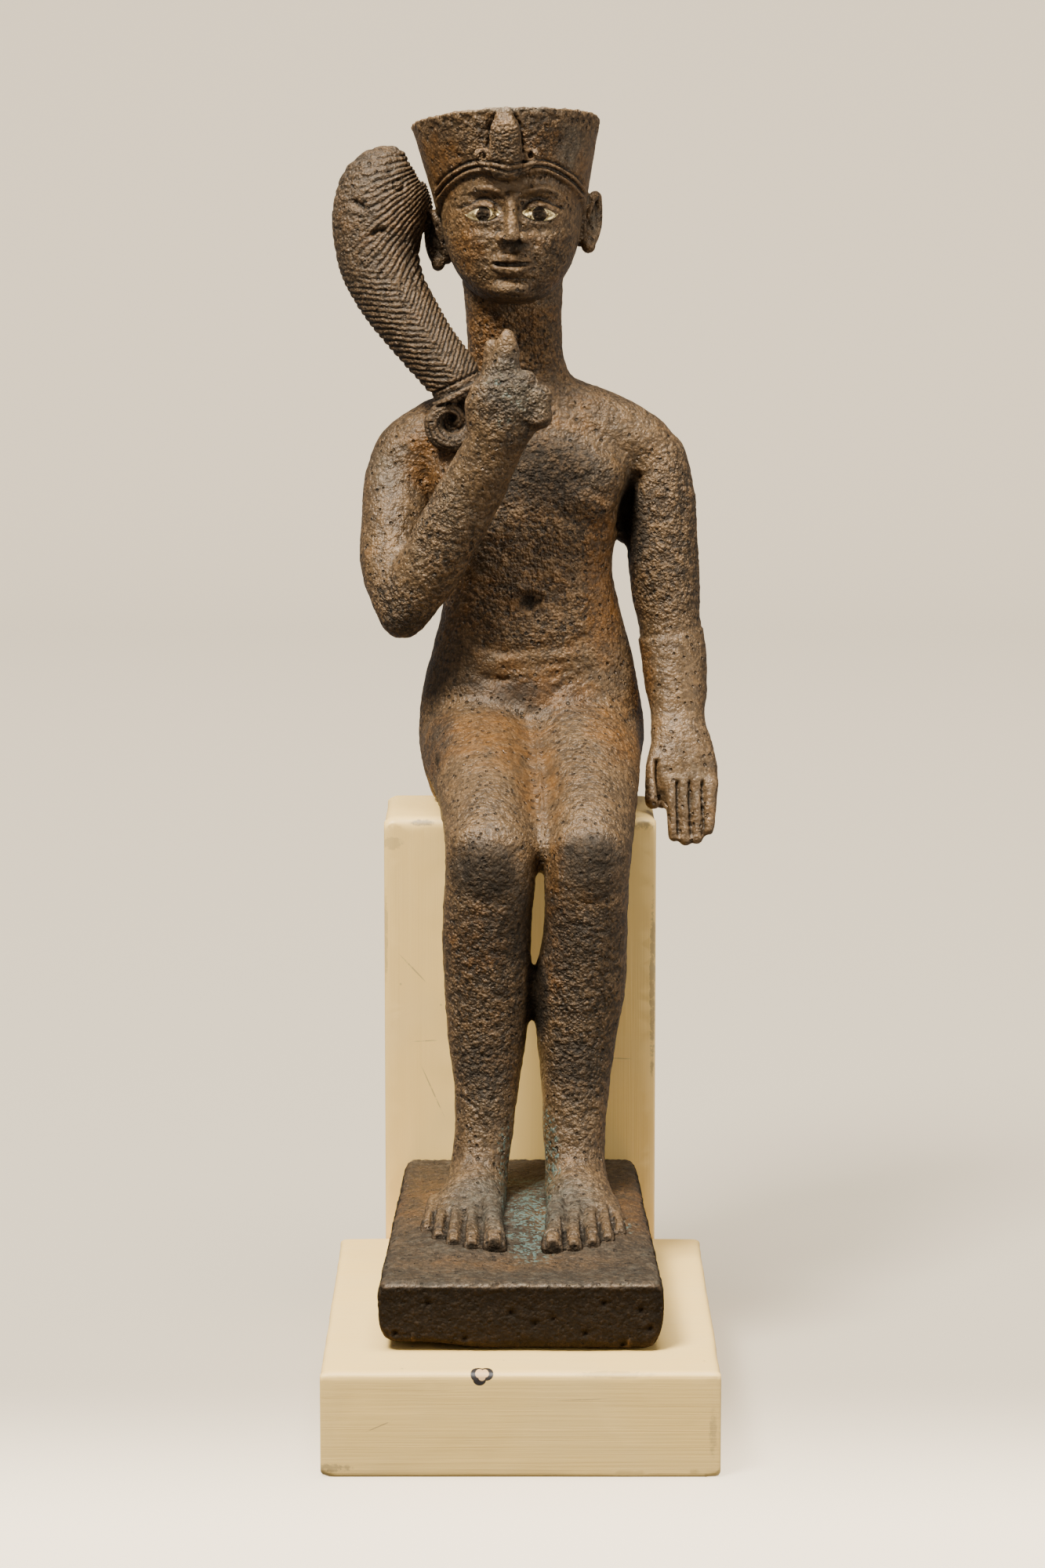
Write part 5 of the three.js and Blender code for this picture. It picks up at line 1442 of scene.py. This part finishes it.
def makeLock():
    x, y, z = lock["curl"]
    parts = [limb(lock["hair"], sides=48, domes=(0.8, 1.5)),
             limb(lock["root"], sides=24, upright=True, domes=(1.5, 1.5)),
             limb(curlPath(), sides=28, steps=1, hint=(0, 1, 0), domes=(1, 0.6)),
             ball(x, y + 0.6, z, lock["curlFloor"])]
    parts += [makeTie(place) for place in lock["ties"]]
    obj = fuse("bronzeLock", parts, lock["voxel"])
    relax(obj, 0.8, 5)
    carveLock(obj)
    displace(obj, "lockLumps", 4, 0.2)
    displace(obj, "lockPits", 0.8, 0.34, "rough")
    thin(obj, lock["limit"])
    p = getPoints(obj)
    tone = [raiseTo(np.full(len(p), lock["start"][name]), p, lock[name]) for name in ("warm", "dark", "pale")]
    finishBronze(obj, tone, 0.5, 0.0, 1)


makeLock()
print("lock made")


plateDetail = {
    "voxel": 0.5, "limit": 140000, "cornerRound": 2.6,
    "edgeRound": 0.45,
    "drawIn": 1.5, "fillet": 0.55, "footRise": 1.3, "worn": [0, 30, 38, 34, 12, 9, 0.5],
    "feet": [[-11, 66], [13, 66]], "swell": 0.8, "notchX": [-10.45, -5.72],
    # casting pits in the front face: [across, up, radius]
    "pits": [
        [-2, 31.5, 0.7], [3.2, 29, 0.85], [7, 30, 0.6], [22, 24.5, 0.9], [26, 32, 0.6], [-27, 27, 0.6],
        [-12, 26, 0.55], [14, 27, 0.6], [-20, 33.5, 0.6], [18, 33.5, 0.6], [28, 28, 0.7],
    ], "pitDepth": 1.1,
    "warm": [
        [-23, 78, 41, 9, 28, 6, 0.62], [24, 70, 41, 10, 30, 6, 0.7], [0, 32, 38, 26, 6, 6, 0.4],
        [4, 60, 40, 5, 16, 5, 0.5],
    ],
    "dark": [[2, 98, 42, 13, 13, 6, 0.65], [-19, 28, 38, 10, 8, 4, 0.35]],
    "green": [[2.5, 62, 40, 7, 38, 6, 0.75], [2, 92, 42, 9, 7, 4, 0.55], [22, 56, 40, 5, 9, 4, 0.35]],
}


def shapePlate(obj):
    p, n = getSurface(obj)
    detail = plateDetail
    fromTop, fromBottom = plateTop(p[:, 1]) - p[:, 2], p[:, 2] - plate["bottom"]
    # sides draw in towards the bottom; a fillet band runs below the top edge; the left front corner rises
    across = p[:, 0] - plate["centreX"]
    p[:, 0] -= np.sign(across) * (np.abs(across) > 24) * detail["drawIn"] * smoothStep(9, 0, fromBottom) ** 2
    frontFace = smoothStep(-0.5, -0.9, n[:, 1])
    p[:, 1] += frontFace * (detail["fillet"] * smoothStep(1.0, 2.4, fromTop) * smoothStep(12, 4, fromTop))
    rise = detail["footRise"] * smoothStep(-6, -22, p[:, 0]) * smoothStep(40, 20, p[:, 1])
    p[:, 2] += smoothStep(4, 0, fromBottom) * rise
    # the top is worn hollow towards its front, and swells round the feet
    topFace = smoothStep(0.5, 0.9, n[:, 2])
    p[:, 2] -= topFace * detail["worn"][6] * blob(p, detail["worn"])
    for x, y in detail["feet"]:
        gone = np.hypot((p[:, 0] - x) / 13, (p[:, 1] - y) / 32)
        p[:, 2] += topFace * detail["swell"] * np.exp(-(gone - 0.85).clip(0, 9) ** 2 * 18)
    for x in detail["notchX"]:
        bite = np.hypot((p[:, 0] - x) / 0.8, np.hypot(p[:, 1] - 16.2, (p[:, 2] - 38.3)) / 0.9)
        p -= n * np.exp(-bite ** 2)[:, None]
    for x, z, radius in detail["pits"]:
        hole = np.hypot(p[:, 0] - x, p[:, 2] - z) / radius
        p[:, 1] += frontFace * detail["pitDepth"] * np.exp(-hole ** 2)
    setPoints(obj, p)


def atPlateEdge(p):
    # how far a point lies from the middle of the plate's top, from 0 to 1 at its outline
    front, back = plate["front"], plate["back"]
    half = plate["frontHalf"] + (plate["backHalf"] - plate["frontHalf"]) * (p[:, 1] - front) / (back - front)
    across = np.abs((p[:, 0] - plate["centreX"]) / half)
    return np.maximum(across, np.abs((p[:, 1] - (front + back) / 2) / ((back - front) / 2)))


def makePlate():
    obj = newCube("bronzePlate")
    detail = plateDetail
    front, back = plate["front"], plate["back"]
    corners = []
    for vertex in obj.data.vertices:
        x, y, z = vertex.co
        half, place = (plate["frontHalf"], front) if y < 0 else (plate["backHalf"], back)
        corners.append([plate["centreX"] + half * x, place, plate["bottom"] if z < 0 else plateTop(place)])
    setPoints(obj, np.array(corners))
    bevelEdges(obj, lambda low, high: True, detail["cornerRound"], 6)
    applyModifier(obj, "BEVEL", "edges", width=detail["edgeRound"] * mm, segments=2, limit_method="ANGLE",
                  angle_limit=1.0)
    remesh(obj, detail["voxel"])
    shapePlate(obj)
    relax(obj, 0.5, 1)
    p = getPoints(obj)
    edge = smoothStep(2.4, 0.4, np.abs(plateTop(p[:, 1]) - p[:, 2])) * smoothStep(0.9, 1, atPlateEdge(p))
    setGroup(obj, "edge", edge + 0.15)
    displace(obj, "edgeWear", 2, 0.6, "edge", 2)
    displace(obj, "plateLumps", 9, 0.5)
    displace(obj, "platePits", 1, 0.22)
    p = getPoints(obj)
    p[:, 2] = np.maximum(p[:, 2], plate["bottom"])
    p[:, 1] = np.clip(p[:, 1], front + 0.02, back)
    setPoints(obj, p)
    thin(obj, detail["limit"])
    p, n = getSurface(obj)
    onTop = smoothStep(0.4, 0.8, n[:, 2]) * smoothStep(front + 0.4, front + 1.1, p[:, 1])
    # the top is paler and the front and sides darker: partly the patina, partly painted light falling from
    # above
    dark, pale = 1 - 0.27 * onTop, 0.05 + 0.42 * onTop
    for row in detail["warm"]:
        mask = blob(p, row)
        pale = pale * (1 - 0.8 * mask)
        dark = dark - 0.15 * mask * onTop
    warm = raiseTo(np.full(len(p), 0.18), p, detail["warm"])
    dark = raiseTo(dark, p, detail["dark"], onTop)
    green = raiseTo(np.zeros(len(p)), p, detail["green"])
    # a painted highlight: a thin pale line along the plate's front top edge
    rim = smoothStep(0.38, 0.1, np.abs(p[:, 1] - front - 0.75)) * smoothStep(36.8, 37.6, p[:, 2])
    tone = warm, dark * (1 - 0.7 * rim), np.maximum(pale, 0.8 * rim)
    finishBronze(obj, tone, 0.42 - 0.04 * onTop, green)


makePlate()
print("plate made")


stand = {
    "slab": {"width": 85.3, "front": 0, "back": 114.9, "height": 23, "corner": 1, "topEdge": 1.3},
    "seat": {"width": 63.9, "front": 115.2, "back": 152, "height": 124, "corner": 2.2, "topEdge": 2.4},
    "waviness": 0.22,
    "slabMarks": [
        ((-40, 0.5, 2), (8, 3, 2), 0.5), ((20, 0.5, 22.4), (16, 3, 1.4), 0.25),
        ((-14, 20, 23), (10, 6, 2), 0.25), ((41, 1, 10), (2, 3, 14), 0.35),
    ],
    "seatMarks": [
        ((-23, 115, 122.8), (6, 4, 1.7), 0.7), ((29, 115, 122), (5, 4, 2.4), 0.6),
        ((31.2, 115.5, 84), (1.4, 4, 42), 0.55), ((-31.6, 115.5, 96), (1, 4, 20), 0.35),
        ((31.2, 128, 118), (3, 16, 6), 0.4), ((-30, 115, 118), (5, 4, 3), 0.3),
    ],
    "seatScratches": [
        ((-29, 115.2, 92), (-21.5, 115.2, 84), 0.22), ((-24, 115.2, 66), (-17.4, 115.2, 51), 0.2),
        ((-26, 115.2, 70.4), (-18, 115.2, 70.8), 0.16), ((20, 115.2, 66.5), (27, 115.2, 66.2), 0.16),
    ],
    "slabScratches": [((-34, 0, 9.5), (-26, 0, 13), 0.16), ((6, 0, 16.8), (24, 0, 17.4), 0.14)],
    "chips": [
        ((-9, 1, 22.3), (1.7, 3, 1.5), "heart"), ((-7.3, 1, 22.4), (1.6, 3, 1.3), "heart"),
        ((-8.7, 0.6, 21.3), (1.4, 3, 1.2), "heart"), ((-8.7, 1, 22.5), (0.95, 2.2, 0.8), "bare"),
        ((-7.6, 1, 22.5), (0.9, 2.2, 0.7), "bare"), ((-8.2, 1, 21.8), (0.8, 2.2, 0.7), "bare"),
    ],
    "voxel": 0.7, "limit": 60000, "footing": 0.35,
}


def makeBlock(name, shape, material, node):
    obj = newCube(name)
    front, back, height = shape["front"], shape["back"], shape["height"]
    half, middle, depth = shape["width"] / 2, (front + back) / 2, (back - front) / 2
    flat = readAll(obj.data.vertices, "co")
    setPoints(obj, flat * np.array([half, depth, height / 2]) + np.array([0, middle, height / 2]))
    bevelEdges(obj, lambda low, high: high - low > 5, shape["corner"], 5)
    bevelEdges(obj, lambda low, high: low > height - 0.1, shape["topEdge"], 5)
    remesh(obj, stand["voxel"])
    relax(obj, 1, 3)
    displace(obj, name + "Waves", 14, stand["waviness"] * 2)
    p = np.clip(getPoints(obj), [-half, front, 0], [half, back, height])
    p[:, 2] = np.where(p[:, 2] < stand["footing"], 0, p[:, 2])
    setPoints(obj, p)
    thin(obj, stand["limit"])
    # points that the flat faces brought together become one
    onWholeMesh(obj, bpy.ops.mesh.remove_doubles, threshold=0.002 * mm)
    finishPiece(obj, material, node)


slabPaint = makePaint("creamSlab", "x", stand["slabMarks"], stand["slabScratches"], stand["chips"])
seatPaint = makePaint("creamSeat", "z", stand["seatMarks"], stand["seatScratches"])
makeBlock("paintedSlab", stand["slab"], slabPaint, "base_slab")
makeBlock("paintedSeat", stand["seat"], seatPaint, "seat_block")
print("stand made")


stage = {
    "floorColour": (0.625, 0.515, 0.362, 1), "wall": 1.6, "curve": 0.5, "wide": 2.4,
    # [distance behind the part in metres, glow]
    "glow": [(-0.1, 4.2), (0.02, 1)], "wallGlow": [(0.3, 0), (1.2, 0.22)], "deep": 3,
}


def makeStage():
    bpy.ops.mesh.primitive_plane_add(size=1, location=(0, 0, 0))
    floor = bpy.context.object
    floor.name = "floor"
    bpy.ops.object.mode_set(mode="EDIT")
    bpy.ops.mesh.select_all(action="SELECT")
    bpy.ops.transform.resize(value=(stage["wide"] * 2, stage["deep"], 1))
    bpy.ops.object.mode_set(mode="OBJECT")
    for vertex in floor.data.vertices:
        vertex.select = vertex.co.y > 0
    bpy.ops.object.mode_set(mode="EDIT")
    bpy.ops.mesh.select_mode(type="EDGE")
    steps = 16
    turned = stage["curve"] / steps * math.pi / 2
    for i in range(steps):
        angle = (i + 0.5) / steps * math.pi / 2
        move = (0, turned * math.cos(angle), turned * math.sin(angle))
        bpy.ops.mesh.extrude_region_move(TRANSFORM_OT_translate={"value": move})
    bpy.ops.mesh.extrude_region_move(TRANSFORM_OT_translate={"value": (0, 0, stage["wall"])})
    bpy.ops.object.mode_set(mode="OBJECT")
    bpy.ops.object.shade_smooth()
    material, shader, feed, add = newMaterial("paleSweep", 0, 0.9)
    feed(shader.inputs["Base Color"], stage["floorColour"])
    feed(shader.inputs["Emission Color"], stage["floorColour"])
    depth = add("SeparateXYZ", {0: add("TexCoord").outputs["Object"]}).outputs["Y"]
    _, _, _, ramp, plus, _, _, _ = toolkit(add)
    near, far = (ramp(depth, start, end, low, high)
                 for (start, low), (end, high) in (stage["glow"], stage["wallGlow"]))
    feed(shader.inputs["Emission Strength"], plus(near, far))
    floor.data.materials.append(material)
    # the sweep is lit for the camera alone, so the part keeps its modelled shadows
    floor.visible_diffuse = False
    floor.visible_glossy = False
    floor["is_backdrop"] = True


lights = {
    "sky": (1, 0.98, 0.97, 1), "skyPower": 0.26, "aim": (0, 0, 0.15),
    # name: place in metres, size in metres, power in watts
    "lamps": {
        "key": ((-0.46, -0.52, 1.28), (0.36, 0.36), 55), "top": ((0, -0.1, 1.6), (0.9, 0.6), 35),
        "side": ((1.15, -0.5, 0.3), (0.6, 0.8), 11), "front": ((-0.35, -1.25, 0.42), (0.7, 0.5), 8.5),
    },
}


def makeLights():
    world = bpy.data.worlds.new("studio")
    bpy.context.scene.world = world
    world.use_nodes = True
    background = world.node_tree.nodes["Background"]
    background.inputs[0].default_value = lights["sky"]
    background.inputs[1].default_value = lights["skyPower"]
    for name, (place, size, power) in lights["lamps"].items():
        light = bpy.data.lights.new(name, "AREA")
        light.shape = "RECTANGLE"
        light.size, light.size_y = size
        light.energy = power
        lamp = bpy.data.objects.new(name, light)
        bpy.context.collection.objects.link(lamp)
        lamp.location = place
        lamp.rotation_euler = (Vector(lights["aim"]) - Vector(place)).to_track_quat("-Z", "Y").to_euler()


shot = {"place": (-0.694, -974.6, 288.291), "pitch": 8.611, "yaw": 0.07, "lens": 102.32, "film": 36}


def makeCamera():
    data = bpy.data.cameras.new("camera")
    camera = bpy.data.objects.new("camera", data)
    bpy.context.collection.objects.link(camera)
    camera.location = [value * mm for value in shot["place"]]
    camera.rotation_euler = (math.radians(90 - shot["pitch"]), 0, math.radians(-shot["yaw"]))
    data.sensor_fit = "VERTICAL"
    data.sensor_height = shot["film"]
    data.lens = shot["lens"]
    data.clip_start, data.clip_end = 0.05, 20
    bpy.context.scene.camera = camera


makeStage()
makeLights()
makeCamera()
print("stage set")

plainBox = lambda box: [[float(v) for v in corner] for corner in box]
{"cad": plainBox(cadBox), "visual": plainBox(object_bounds())}
